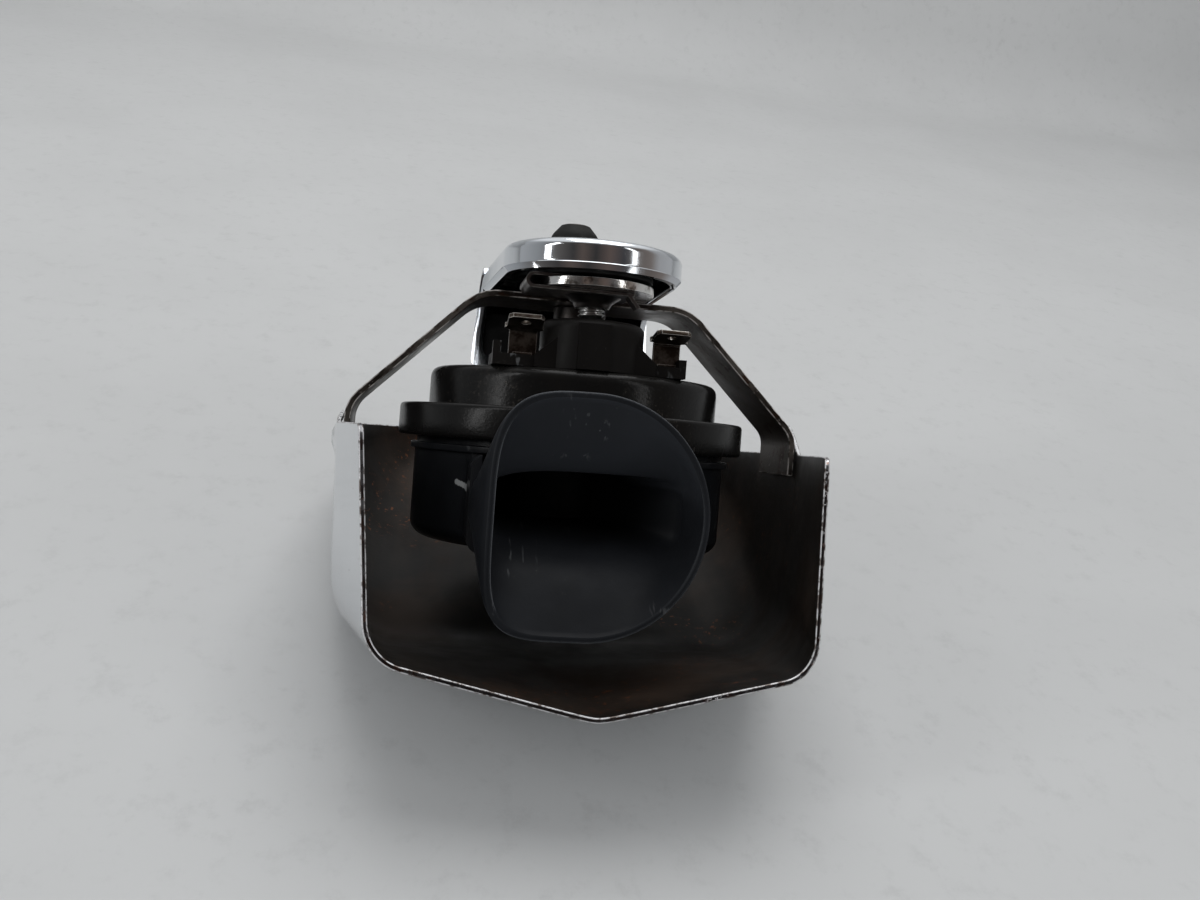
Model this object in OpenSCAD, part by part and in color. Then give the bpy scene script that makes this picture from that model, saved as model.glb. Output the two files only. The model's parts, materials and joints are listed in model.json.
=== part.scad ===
// Motorcycle horn: an electric disc horn with a snail trumpet, strapped into a chromed
// scoop cover and carried by a pressed bracket with rubber mounts.
//
// The pieces are drawn in the cover's own frame: x across the cover, y from the open lip
// towards its closed end, z out of its open back, and z = 0 in the plane of its back edge.
// Last of all the whole horn is laid on the sloping front face of the cover, as it rests
// on a table, with the origin at the mouth of the threaded hole in the rubber mount.

/* [Cover] */
// Thickness of the cover's sheet
cover_t = 0.9; // [0.7:0.1:1.2]
// Half width across the lip, at the open back edge
lip_half_w = 40; // [38:0.5:42]
// Depth of the lip, from the back edge to the ridge
lip_depth = 43.8; // [41:0.2:46]
// Slope of each half of the lip's bottom, which meet in the ridge
lip_vee = 12.4; // [6:0.2:15]
// Angle by which the lip's plane leans forward at the bottom
lip_rake = 16.8; // [8:0.2:20]
// Radius of the lip's lower corners
lip_corner_r = 8; // [6:0.5:11]
// Radius of the same corners over the sloping face
face_corner_r = 15; // [10:0.5:18]
// Lean of the side walls at the lip, as width lost per depth
lip_draft = 0.1; // [0.02:0.01:0.12]
// Length of the flared front part of the side walls
flare_len = 28; // [24:0.5:32]
// Half width where the flare ends
flare_half_w = 45.2; // [44.2:0.1:46]
// Half width at the widest place
max_half_w = 46.6; // [46.2:0.1:48]
// Distance from the lip to the widest place
widest_y = 60; // [54:1:66]
// Distance from the lip to the start of the flat sloping face
face_start = 40; // [36:1:44]
// Depth of the cover where the flat sloping face starts
face_depth = 42.6; // [41:0.2:44]
// Slope of the flat face, on which the horn lies at rest
face_slope = 28; // [25:0.5:30]
// Distance from the lip to the end of the flat face
nose_start = 84; // [80:1:88]
// Overall length of the cover along its back edge
cover_len = 110; // [106:1:118]
// Roundness of the closed end, where 2 is an ellipse
nose_power = 2.4; // [2:0.1:3]
// Height of the ears that stand up beside the strap's feet
ear_h = 6; // [4:0.5:7]
// Half length of an ear, along the back edge
ear_half = 9.9; // [9:0.1:11]

/* [Strap] */
// Thickness of the steel strap
strap_t = 1.2; // [1:0.1:1.6]
// Width of the strap, along the cover
strap_w = 18; // [14:0.5:19]
// Height of the strap's outer face over the cover's back edge
strap_top = 27.2; // [26.8:0.1:27.6]
// Half width of the flat middle of the strap, between its bends
strap_flat = 20.6; // [19:0.1:22]
// Height of the bends at the cover's walls
strap_knee = 4; // [2:0.5:6]
// Length of the ends that lie against the cover's walls, below the back edge
strap_foot = 4.3; // [3:0.1:8]
// Inside radius of the strap's two upper bends
knee_bend = 9; // [4:0.5:10]
// Inside radius of the strap's two lower bends
foot_bend = 5; // [3:0.5:6]

/* [Horn] */
// Distance from the lip to the axis of the horn
horn_y = 38; // [37:0.25:39]
// Radius of the rear can
can_r = 28.5; // [27.5:0.25:29]
// Height of the can's rear face over the cover's back edge
can_top = 12.2; // [12:0.1:12.8]
// Thickness of the can's sheet
can_t = 1.2; // [0.8:0.1:1.4]
// Radius of the can's rounded edge
can_edge_r = 1.9; // [1.5:0.1:2.4]
// Radius of the crimped ring
ring_r = 34; // [33:0.25:35]
// Height of the ring's rear edge
ring_top = 4.8; // [4.6:0.1:5]
// Height of the ring
ring_h = 6.2; // [6:0.1:6.6]
// Thickness of the ring's sheet
ring_t = 0.9; // [0.7:0.05:1]
// Radius of the front moulding's drum
drum_r = 30.6; // [29.5:0.1:30.8]
// Height of the drum's front face, below the back edge
drum_bottom = -20.7; // [-22:0.1:-20]
// Wall of the plastic mouldings
drum_t = 1.8; // [1.4:0.1:2.2]
// Radius of the drum's front edge
drum_edge_r = 3; // [2:0.25:3.5]
// Thickness of the diaphragm
diaphragm_t = 0.35; // [0.3:0.05:0.4]
// Travel of the armature, from rest towards the pole
stroke = 0.4; // [0.2:0.05:0.5]

/* [Trumpet] */
// Radius of the round mouth
mouth_r = 20.2; // [19:0.1:20.6]
// Distance from the mouth's centre to its lowest point
mouth_drop = 20.7; // [19.5:0.1:21.2]
// Distance of the mouth's plane in front of the crimped ring
mouth_ahead = 8; // [6:0.5:10]
// Sideways place of the mouth's centre
mouth_x = -2; // [-3:0.25:0]
// Height of the mouth's centre
mouth_z = -12.5; // [-13.5:0.25:-11.5]
// Distance from the mouth's centre to its flat left side
mouth_flat = 16.7; // [15.5:0.1:18]
// Wall of the bell
bell_t = 1.3; // [1:0.1:1.6]
// Distance of the drum's spout, where the bell ends, in front of the plate's edge
spout_ahead = 0.1; // [0.05:0.05:0.6]
// Sideways place of the spout's left face
spout_left = -21.2; // [-22:0.1:-20.4]
// Sideways place of the spout's right face
spout_right = 17.8; // [17:0.1:18.4]

/* [Terminals] */
// Radius of the round boss over the adjusting screw
boss_r = 9.6; // [9:0.1:9.8]
// Distance from the lip to the middle of the boss
boss_y = 20; // [19.5:0.25:21]
// Height of the boss's top
boss_top = 21.4; // [20.5:0.1:21.5]
// Width of a spade terminal
tab_w = 6.3; // [4.8:0.1:6.5]
// Thickness of a spade terminal
tab_t = 0.8; // [0.5:0.1:1]
// Height at which the terminals have been bent forward
tab_bend_z = 18.9; // [18.4:0.1:19.2]
// Length of a terminal's blade past that bend
tab_len = 6.2; // [5:0.1:6.6]
// Distance from the middle to the left terminal
left_tab = 13; // [12.9:0.1:13.5]
// Distance from the middle to the right terminal
right_tab = 13.6; // [12.9:0.1:14]
// Distance from the lip to the terminals
tab_y = 17.5; // [17:0.25:18.5]
// Angle by which the left terminal has been bent forward
left_bent = 72; // [40:1:80]
// Angle by which the right terminal has been bent forward
right_bent = 78; // [40:1:82]

/* [Bracket] */
// Thickness of the tongue plate
tongue_t = 1.6; // [1.2:0.1:1.8]
// Radius of the tongue's round end
tongue_r = 11.4; // [10.4:0.1:11.6]
// Distance from the lip to the bracket's bolt
bolt_y = 23; // [22.5:0.25:23.5]
// Radius of the bolt's shank
bolt_r = 2.5; // [2:0.1:2.6]
// Radius of the bracket's round end
cup_r = 17; // [16:0.25:18]
// Distance from the lip to the middle of the round end
cup_y = 26; // [25:0.25:27]
// Height of the bracket's outer face
cup_top = 35.3; // [35:0.1:36]
// Gap between the clip nut and the lower end of the bracket's edge
cup_gap = 0.4; // [0.3:0.1:0.8]
// Height of the upright band of that edge, below which it leans in
cup_band = 4.4; // [4:0.1:4.6]
// Thickness of the bracket's sheet
cup_t = 1.2; // [1:0.1:1.4]
// Radius of the turned edge
cup_edge_r = 1.6; // [1.5:0.1:2.6]
// Distance from the lip to the far face of the bracket's leg
leg_y = 64.5; // [63:0.5:68]
// Half width of the bracket where it turns down into the leg
leg_top_half_w = 18.7; // [17.5:0.1:19]
// Half width of the leg's end
leg_half_w = 19.7; // [19:0.1:21]
// Height of the leg's end
leg_end = 13.6; // [13.4:0.1:15]
// Height of the lower edge of the leg's window
window_low = 16.6; // [16:0.1:20]
// Height of the upper edge of the leg's window
window_top = 26.4; // [22:0.1:27]
// Half width of the window
window_half_w = 17.3; // [14:0.1:17.6]

/* [Rubber mount] */
// Distance from the lip to the rubber mount's axis
mount_y = 52.6; // [51.5:0.1:53]
// Height of the rubber mount's top
mount_top = 45.4; // [44:0.1:47]
// Radius of the rubber mount's foot
mount_r = 8.6; // [8:0.1:9.5]
// Radius of the rubber mount near its top
mount_top_r = 4.6; // [4.2:0.1:5.5]
// Radius of its threaded hole, at the thread's crests
mount_hole_r = 2.5; // [2:0.1:2.6]
// Depth of the threaded hole
mount_hole_depth = 7; // [5:0.5:7.5]

/* [Hidden] */
$fn = 64;

// Gap between pieces that lie on each other, and round a shank in its hole
seat = 0.05;
hole_gap = 0.3;
// Gap of a piece that is let into another by hand
loose = 0.3;

// Sampling of the cover's sheet
front_rows = 7;
ear_rows = 5;
face_rows = 4;
nose_rows = 11;
floor_steps = 6;
corner_steps = 7;
wall_steps = 3;
ridge_r = 1.5;
nose_cut = 0.994;
rear_draft = 0.02;

// Heights of the strap, the plates on it and what is clamped to them
strap_low = strap_top - strap_t;
tongue_low = strap_top + seat;
tongue_top = tongue_low + tongue_t;
clip_t = 0.6;
clip_gap = 0.05;
clip_top = tongue_top + clip_gap + clip_t;
clip_low = tongue_low - clip_gap - clip_t;
clip_near = bolt_y - 6.5;
clip_far = min(bolt_y + 5.6, horn_y - strap_w / 2 - loose);
bolt_end = boss_top + 0.8;
washer_t = 1;
washer_low = tongue_top + seat;
nut_h = 3.2;
nut_af = 10;
nut_low = washer_low + washer_t + seat;
stud_r = 3;
stud_end = nut_low + nut_h + 0.3;
cup_low = clip_top + cup_gap;
cup_ceiling = cup_top - cup_t;

// Heights inside the crimped ring, from the can's flange to the front moulding
ring_low = ring_top - ring_h;
can_flange_t = 1.1;
can_flange_low = ring_top - ring_t - seat - can_flange_t;
gasket_t = 0.5;
gasket_r = ring_r - ring_t - 0.3;
rear_gasket_low = can_flange_low - seat - gasket_t;
diaphragm_low = rear_gasket_low - seat - diaphragm_t;
front_gasket_low = diaphragm_low - seat - gasket_t;
plate_top = front_gasket_low - seat;
plate_flange_t = plate_top - ring_low - ring_t - seat;
lip_low = -3.8;
step_r = ring_r - 2.5;
chamber_r = 27;
mouth_plane = horn_y - ring_r - mouth_ahead;
spout_y = horn_y - step_r - spout_ahead;

// The electromagnet
pole_r = 6;
air_gap = stroke + 0.3;
armature_r = 8.5;
armature_t = 2.2;
armature_low = diaphragm_low + diaphragm_t + seat;
pole_low = armature_low + armature_t + air_gap;
coil_r = 14;
bobbin_t = 0.8;
coil_low = pole_low;
coil_top = can_top - can_t - seat;

// The contact breaker, in front of the coil, under the boss
breaker_z = coil_low + bobbin_t + seat;
base_near = boss_y - 3.4;
arm_t = 0.35;
arm_half_w = 2.6;
arm_left = -8;
arm_right = 7;
contact_r = 1.3;
contact_x = 4.6;
pusher_r = 1.2;
base_t = 1.2;
arm_low = breaker_z + base_t + 1.4;
screw_r = 2.4;
screw_head_r = 4;
screw_top = boss_top - 1.4;
screw_tip = arm_low + arm_t + stroke + 0.3;
tab_x = [-left_tab, right_tab];

// Where the horn's parts stand
module at_horn() {
    translate([0, horn_y, 0]) children();
}

module at_bolt() {
    translate([0, bolt_y, 0]) children();
}

// The horn laid on the cover's flat face, with the origin at the rubber mount's hole
module laid() {
    rotate([-face_slope, 0, 0]) translate([0, -mount_y, -mount_top]) children();
}

module post(r, z0, z1) {
    translate([0, 0, z0]) cylinder(r = r, h = z1 - z0);
}

module washer(r_out, r_in, z0, z1) {
    difference() {
        post(r_out, z0, z1);
        post(r_in, z0 - 1, z1 + 1);
    }
}

// A hexagon nut, with its corners turned off on the upper side
module hex_nut(across, bore_r, z0, z1) {
    corner_r = across / sqrt(3);
    difference() {
        intersection() {
            translate([0, 0, z0]) cylinder(r = corner_r, h = z1 - z0, $fn = 6);
            translate([0, 0, z0]) rotate_extrude()
                polygon([[0, 0], [corner_r + 0.1, 0], [corner_r + 0.1, z1 - z0 - 0.7],
                    [across / 2, z1 - z0], [0, z1 - z0]]);
        }
        post(bore_r, z0 - 1, z1 + 1);
    }
}

module rounded_rect(x0, z0, x1, z1, r) {
    translate([x0 + r, z0]) square([x1 - x0 - 2 * r, z1 - z0]);
    translate([x0, z0 + r]) square([x1 - x0, z1 - z0 - 2 * r]);
    for (x = [x0 + r, x1 - r], z = [z0 + r, z1 - r])
        translate([x, z]) circle(r = r);
}

// A flat outline in x and z, given a thickness from y0 to y1
module upright(y0, y1) {
    translate([0, y1, 0]) rotate([90, 0, 0]) linear_extrude(y1 - y0) children();
}

// The cover's sheet

function fade(y) = max(0, 1 - y / face_start);
function ease(y, from) = y <= from ? 1
    : pow(1 - pow(min(1, (y - from) / (cover_len - from)), nose_power), 1 / nose_power);
function half_w(y) = ease(y, widest_y) * (y <= flare_len
    ? lip_half_w + (flare_half_w - lip_half_w) * y / flare_len
    : flare_half_w + (max_half_w - flare_half_w)
        * sin(90 * min(1, (y - flare_len) / (widest_y - flare_len))));
function keel(y) = y <= face_start ? face_depth + (lip_depth - face_depth) * fade(y)
    : (face_depth - (y - face_start) * tan(face_slope)) * ease(y, nose_start);
function vee(y) = tan(lip_vee) * fade(y);
function draft(y) = rear_draft + (lip_draft - rear_draft) * fade(y);
function ear(y) = let (d = abs(y - horn_y) / ear_half) d >= 1 ? 0 : ear_h * (1 - pow(d, 1.3));
function corner_r(y) = min(lip_corner_r + (face_corner_r - lip_corner_r) * (1 - fade(y)),
    0.8 * keel(y), 0.8 * half_w(y));

// Right half of a cross-section, from the ridge to the back edge, as [x, z]
function half_section(y) = let (
        s = vee(y), d = draft(y), r = corner_r(y),
        low = keel(y) + s * ridge_r,
        cx = (half_w(y) - d * low) / (1 - d * s), cz = s * cx - low,
        floor_a = atan(s), turn = 90 - floor_a - atan(d), t = r * tan(turn / 2),
        x1 = cx - t * cos(floor_a), z1 = cz - t * sin(floor_a),
        x2 = cx + t * sin(atan(d)), z2 = cz + t * cos(atan(d)))
    concat(
        [for (i = [0 : floor_steps - 1]) let (x = x1 * pow(i / floor_steps, 1.5))
            [x, s * sqrt(x * x + ridge_r * ridge_r) - low]],
        [for (i = [0 : corner_steps]) let (a = floor_a + turn * i / corner_steps)
            [x1 - r * sin(floor_a) + r * sin(a), z1 + r * cos(floor_a) - r * cos(a)]],
        [for (i = [1 : wall_steps]) let (f = i / wall_steps)
            [x2 + (half_w(y) + d * ear(y) - x2) * f, z2 * (1 - f) + ear(y) * f]]);

function row(y) = let (h = half_section(y), n = len(h), lean = tan(lip_rake) * fade(y))
    concat(
        [for (i = [n - 1 : -1 : 1]) [-h[i].x, y + lean * h[i].y, h[i].y]],
        [for (p = h) [p.x, y + lean * p.y, p.y]]);

ear_near = horn_y - ear_half;
ear_far = horn_y + ear_half;
cover_rows = concat(
    [for (i = [0 : front_rows - 1]) ear_near * i / front_rows],
    [for (i = [0 : ear_rows - 1]) ear_near + (face_start - ear_near) * i / ear_rows],
    [for (i = [0 : ear_rows - 1]) face_start + (ear_far - face_start) * i / ear_rows],
    [for (i = [0 : face_rows - 1]) ear_far + (nose_start - ear_far) * i / face_rows],
    [for (i = [0 : nose_rows])
        nose_start + (cover_len - nose_start) * nose_cut * sin(90 * i / nose_rows)]);
cover_skin = [for (y = cover_rows) row(y)];

// Unit vector into the cover at a point of its skin
function inward(g, i, j) = let (
        n = len(g) - 1, m = len(g[0]) - 1,
        du = g[min(n, i + 1)][j] - g[max(0, i - 1)][j],
        dv = g[i][min(m, j + 1)] - g[i][max(0, j - 1)],
        c = cross(dv, du)) c / norm(c);

function inner_skin(g, t) = [for (i = [0 : len(g) - 1]) [for (j = [0 : len(g[0]) - 1])
    let (p = g[i][j] + t * inward(g, i, j))
    j == 0 || j == len(g[0]) - 1 ? [p.x, p.y, g[i][j].z] : p]];

function flat_list(g) = [for (r = g, p = r) p];

// Triangles of a grid of points, turned one way or the other
function grid_faces(rows, cols, base, flip) = [for (i = [0 : rows - 2], j = [0 : cols - 2],
        half = [0, 1])
    let (a = base + i * cols + j, b = a + 1, c = a + cols, d = c + 1,
        f = half == 0 ? [a, b, d] : [a, d, c])
    flip ? [f[2], f[1], f[0]] : f];

// Triangles that join two runs of points of equal length
function seam_faces(p, q) = [for (k = [0 : len(p) - 2], half = [0, 1])
    half == 0 ? [p[k], q[k], q[k + 1]] : [p[k], q[k + 1], p[k + 1]]];

// A point in the middle of the closed end's last cross-section
function middle(r) = [0, r[(len(r) - 1) / 2].y, r[(len(r) - 1) / 2].z / 2];

module sheet(g, t) {
    rows = len(g);
    cols = len(g[0]);
    n = rows * cols;
    last = (rows - 1) * cols;
    inside = inner_skin(g, t);
    rim = [for (i = [0 : rows - 1]) i * cols];
    lip = [for (j = [0 : cols - 1]) j];
    inner = function(run) [for (k = run) k + n];
    polyhedron(
        points = concat(flat_list(g), flat_list(inside),
            [middle(g[rows - 1]), middle(inside[rows - 1])]),
        faces = concat(
            grid_faces(rows, cols, 0, false),
            grid_faces(rows, cols, n, true),
            [for (j = [0 : cols - 1]) [2 * n, last + j, last + (j + 1) % cols]],
            [for (j = [0 : cols - 1]) [2 * n + 1, n + last + (j + 1) % cols, n + last + j]],
            seam_faces(inner(rim), rim),
            seam_faces([for (k = rim) k + cols - 1], inner([for (k = rim) k + cols - 1])),
            seam_faces(lip, inner(lip)),
            seam_faces([last + cols - 1, last], inner([last + cols - 1, last]))),
        convexity = 6);
}

module cover_shell() {
    color("silver") sheet(cover_skin, cover_t);
}

// The strap, a band that follows a bent line

strap_near = horn_y - strap_w / 2;
strap_gap = 0.15;
// The cover's narrowest half width along the strap's feet, less its sheet and a small gap
strap_out = min([for (i = [0 : 6]) let (y = strap_near + strap_w * i / 6)
    half_w(y) - draft(y) * strap_foot]) - cover_t - strap_gap;
strap_line = [[-strap_out, -strap_foot], [-strap_out, strap_knee],
    [-strap_flat, strap_top], [strap_flat, strap_top],
    [strap_out, strap_knee], [strap_out, -strap_foot]];

function unit(v) = v / norm(v);

// Points of a bend of outer radius r at the middle one of three points, and of the same
// bend on the side that lies t to the right of the line
function bend(a, b, c, r, t) = let (
        u = unit(b - a), w = unit(c - b),
        turn = acos(u * w), start = b - u * r * tan(turn / 2),
        centre = start + [u.y, -u.x] * r)
    [for (i = [0 : 6]) let (k = turn * i / 6)
        centre + (r - t) * ([-u.y, u.x] * cos(k) + u * sin(k))];

function band(line, r, t) = concat([line[0] + t * [1, 0]],
    [for (i = [1 : len(line) - 2]) each bend(line[i - 1], line[i], line[i + 1], r[i - 1], t)],
    [line[len(line) - 1] - t * [1, 0]]);

module cover_strap() {
    r = [for (inside = [foot_bend, knee_bend, knee_bend, foot_bend]) inside + strap_t];
    outer = band(strap_line, r, 0);
    inner = band(strap_line, r, strap_t);
    n = len(inner) - 1;
    color("dimgray") difference() {
        upright(strap_near, strap_near + strap_w)
            polygon(concat(outer, [for (i = [n : -1 : 0]) inner[i]]));
        at_horn() post(stud_r + hole_gap, strap_low - 1, strap_top + 1);
    }
}

// The rear can and the ring that crimps the horn together

module rear_can() {
    color("black") difference() {
        at_horn() rotate_extrude() difference() {
            union() {
                square([can_r, can_top - can_edge_r]);
                square([can_r - can_edge_r, can_top]);
                translate([can_r - can_edge_r, can_top - can_edge_r]) circle(r = can_edge_r);
                translate([0, can_flange_low]) square([gasket_r, can_flange_t]);
            }
            translate([-1, -1]) square([can_r - can_t + 1, can_top - can_t - can_edge_r + 2.2]);
            translate([-1, -1]) square([can_r - can_edge_r - 0.4, can_top - can_t + 1]);
            translate([can_r - can_t - 0.1, -1]) square([10, can_flange_low + 1]);
            translate([can_r - 4, -1]) square([4, can_flange_low + 1]);
        }
        at_horn() post(pole_r - 1.5, can_top - can_t - 1, can_top + 1);
        translate([0, boss_y, 0]) post(screw_r + hole_gap, can_top - can_t - 1, can_top + 1);
        for (x = tab_x) translate([x, rivet_y, 0])
            post(rivet_r + 0.1, can_top - can_t - 1, can_top + 1);
    }
}

module crimp_ring() {
    color("black") at_horn() rotate_extrude() difference() {
        translate([can_r + 0.3, ring_low]) square([ring_r - can_r - 0.3, ring_h]);
        translate([can_r, ring_low + ring_t])
            square([ring_r - ring_t - can_r, ring_h - 2 * ring_t]);
        translate([can_r, ring_low - 1]) square([drum_r + 0.2 - can_r, ring_t + 1.1]);
    }
}

module rear_gasket() {
    color("saddlebrown") at_horn()
        washer(gasket_r, chamber_r + 1, rear_gasket_low, rear_gasket_low + gasket_t);
}

module front_gasket() {
    color("saddlebrown") at_horn()
        washer(gasket_r, chamber_r, front_gasket_low, front_gasket_low + gasket_t);
}

// The diaphragm: a thin steel disc with one rolled corrugation
module diaphragm() {
    t = diaphragm_t;
    roll = 0.8;
    color("slategray") at_horn() translate([0, 0, diaphragm_low]) rotate_extrude()
        polygon([[1.6, 0], [17, 0], [18.5, -roll], [20, 0], [gasket_r, 0], [gasket_r, t],
            [20, t], [18.5, t - roll], [17, t], [1.6, t]]);
}

module armature() {
    color("gray") at_horn() {
        post(armature_r, armature_low, armature_low + armature_t);
        post(1.5, diaphragm_low - seat - 0.2, armature_low + 0.1);
        translate([-pusher_r, boss_y - horn_y, armature_low])
            cube([2 * pusher_r, horn_y - boss_y, 0.8]);
        translate([0, boss_y - horn_y, 0]) post(pusher_r, armature_low, arm_low - 0.3);
    }
}

module armature_washer() {
    top = diaphragm_low - seat;
    color("gray") at_horn() {
        washer(6, 1.55, top - 0.8, top);
        post(2.6, top - 1.6, top - 0.7);
    }
}

// The electromagnet

module pole_core() {
    color("gray") at_horn() difference() {
        union() {
            post(pole_r, pole_low, can_top - can_t - seat);
            post(pole_r - 1.6, pole_low, can_top);
        }
        post(stud_r + 0.05, can_top - 5, can_top + 1);
    }
}

module coil_bobbin() {
    color("ivory") {
        at_horn() rotate_extrude() {
            translate([pole_r + 0.15, coil_low]) square([bobbin_t, coil_top - coil_low]);
            translate([pole_r + 0.15, coil_low]) square([coil_r - pole_r, bobbin_t]);
            translate([pole_r + 0.15, coil_top - bobbin_t])
                square([coil_r - pole_r, bobbin_t]);
        }
        // A shelf that carries the contact breaker
        difference() {
            translate([arm_left - 2, base_near, coil_low])
                cube([arm_right - arm_left + 4, horn_y - 11 - base_near, bobbin_t]);
            translate([0, boss_y, 0]) post(pusher_r + 0.5, coil_low - 1, coil_low + 2);
        }
    }
}

module coil_winding() {
    color("sienna") at_horn() washer(coil_r - 0.6, pole_r + 0.15 + bobbin_t + seat,
        coil_low + bobbin_t + seat, coil_top - bobbin_t - seat);
}

// The contact breaker: a fixed point on an insulated base and a sprung arm over it

module breaker_base() {
    color("peru") translate([arm_left - 2, base_near, 0]) difference() {
        translate([0, 0, breaker_z]) union() {
            cube([arm_right - arm_left + 4, 6.8, base_t]);
            cube([3, 6.8, arm_low - breaker_z - seat]);
        }
        translate([contact_x - arm_left + 2, 3.4, 0])
            post(contact_r * 0.6 + 0.05, breaker_z - 1, breaker_z + base_t + 1);
        translate([2 - arm_left, 3.4, 0])
            post(pusher_r + 0.5, breaker_z - 1, breaker_z + base_t + 1);
    }
}

module fixed_contact() {
    color("lightgray") translate([contact_x, boss_y, 0]) {
        post(contact_r, breaker_z + base_t + 0.02, breaker_z + base_t + 0.02 + 0.45);
        post(contact_r * 0.6, breaker_z, breaker_z + base_t + 0.1);
    }
}

module breaker_arm() {
    color("darkgoldenrod") translate([arm_left - 2, boss_y - arm_half_w, arm_low])
        difference() {
            cube([arm_right - arm_left + 2, 2 * arm_half_w, arm_t]);
            translate([contact_x - arm_left + 2, arm_half_w, 0])
                post(contact_r * 0.6, -1, 1);
        }
}

module moving_contact() {
    color("lightgray") translate([contact_x, boss_y, 0]) {
        post(contact_r, breaker_z + base_t + 0.77, arm_low - 0.02);
        post(contact_r * 0.6 - 0.02, arm_low - 0.1, arm_low + arm_t);
    }
}

module adjusting_screw() {
    color("silver") translate([0, boss_y, 0]) difference() {
        union() {
            post(screw_head_r, screw_top - 2, screw_top);
            post(screw_r, screw_tip, screw_top - 1);
        }
        translate([-screw_head_r - 1, -0.5, screw_top - 1])
            cube([2 * screw_head_r + 2, 1, 2]);
    }
}

// The front mouldings: the sound plate, the drum with its spiral duct, and the bell

module sound_plate() {
    color("black") at_horn() rotate_extrude() difference() {
        union() {
            translate([0, plate_top - plate_flange_t]) square([gasket_r, plate_flange_t]);
            translate([0, lip_low]) square([drum_r - 0.3, plate_top - lip_low]);
            translate([0, lip_low]) square([step_r, 1.2]);
        }
        translate([-1, lip_low + drum_t]) square([chamber_r + 1, 10]);
        translate([-1, lip_low - 1]) square([throat_r + 1, 10]);
    }
}

throat_r = 5;
duct_top = lip_low - seat;
duct_floor = drum_bottom + drum_t;

module trumpet_drum() {
    color("black") difference() {
        union() {
            at_horn() rotate_extrude() {
                translate([0, drum_bottom + drum_edge_r])
                    square([drum_r, duct_top - drum_bottom - drum_edge_r]);
                translate([0, drum_bottom]) square([drum_r - drum_edge_r, drum_edge_r + 0.1]);
                translate([drum_r - drum_edge_r, drum_bottom + drum_edge_r])
                    circle(r = drum_edge_r);
            }
            upright(spout_y + seat, horn_y - 10)
                rounded_rect(spout_left, drum_bottom, spout_right, duct_top, 2.5);
        }
        // The hollow of the drum, left of a wall that winds in from the spout
        difference() {
            union() {
                at_horn() post(drum_r - drum_t, duct_floor, duct_top + 1);
                translate([spout_left + drum_t, spout_y - 1, duct_floor])
                    cube([spout_right - spout_left - 2 * drum_t, 14, duct_top - duct_floor + 1]);
            }
            duct_walls();
        }
    }
}

// Walls of the spiral duct: the slanting one that shows in the mouth, and the inner coil
module duct_walls() {
    z0 = duct_floor - 1;
    h = duct_top - z0;
    translate([0, 0, z0]) linear_extrude(h)
        polygon([[spout_right - drum_t, spout_y], [spout_right + 4, spout_y],
            [spout_right + 4, 24], [4, 24], [2, 20]]);
    at_horn() translate([0, 0, z0]) {
        rotate([0, 0, -78]) rotate_extrude(angle = 250) translate([16.6, 0]) square([drum_t, h]);
        rotate([0, 0, 172]) translate([0, -1.6, 0]) rotate_extrude(angle = 170)
            translate([9.6, 0]) square([drum_t, h]);
    }
}

bell_rings = 7;
bell_points = 48;

// A rounded outline with its own reach to each side, and a roundness for its upper left,
// its lower left and its right side, where 2 is an ellipse and more is squarer
function lobe(c, left, right, up, down, power, y) =
    [for (i = [0 : bell_points - 1]) let (a = 360 * i / bell_points,
            n = power[cos(a) > 0 ? 2 : sin(a) < 0 ? 1 : 0],
            rx = cos(a) < 0 ? left : right, rz = sin(a) < 0 ? down : up)
        [c.x + rx * sign(cos(a)) * pow(abs(cos(a)), 2 / n), y,
            c.y + rz * sign(sin(a)) * pow(abs(sin(a)), 2 / n)]];

function mix(a, b, f) = a + (b - a) * f;

// Rings of the bell from its mouth to the spout, drawn in by t
function bell_ring(f, t) = let (
        y = mix(mouth_plane, spout_y, f), g = sin(90 * f), s = 1 - cos(90 * f),
        cz = mix(mouth_z, (duct_top + drum_bottom) / 2, f),
        cx = mix(mouth_x, 0, f),
        left = mix(mouth_x - mouth_flat, spout_left, sqrt(f)),
        right = mix(mouth_x + mouth_r, spout_right, f),
        up = mix(mouth_z + mouth_r, duct_top, mix(g, f, 0.5)),
        down = mix(mouth_z - mouth_drop, drum_bottom, mix(g, f, 0.5)))
    lobe([cx, cz], cx - left - t, right - cx - t, up - cz - t, cz - down - t,
        [mix(3.6, 3, f), mix(4.8, 3, f), mix(2, 5, s)], y);

module trumpet_bell() {
    outer = [for (i = [0 : bell_rings]) bell_ring(i / bell_rings, 0)];
    inner = [for (i = [0 : bell_rings]) bell_ring(i / bell_rings, bell_t)];
    m = bell_points;
    n = (bell_rings + 1) * m;
    loop = function(base) [for (k = [0 : m]) base + k % m];
    color("black") polyhedron(
        points = concat(flat_list(outer), flat_list(inner)),
        faces = concat(
            [for (i = [0 : bell_rings - 1]) each seam_faces(loop((i + 1) * m), loop(i * m))],
            [for (i = [0 : bell_rings - 1])
                each seam_faces(loop(n + i * m), loop(n + (i + 1) * m))],
            seam_faces(loop(0), loop(n)),
            seam_faces(loop(n + bell_rings * m), loop(bell_rings * m))),
        convexity = 4);
}

// The terminal block, with the boss over the adjusting screw

block_low = can_top + seat;
block_base_top = 14.3;
rivet_r = 1.4;
bend_r = 0.6;
neck_w = 5;
rivet_y = tab_y + 4.2;
post_w = 1.4;
// Ends and posts of the two terminal seats: inner end, outer end, height of the post
seats = [[-8, -left_tab - 5.4, 16.4], [8, right_tab + 3.3, 15.7]];

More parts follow.
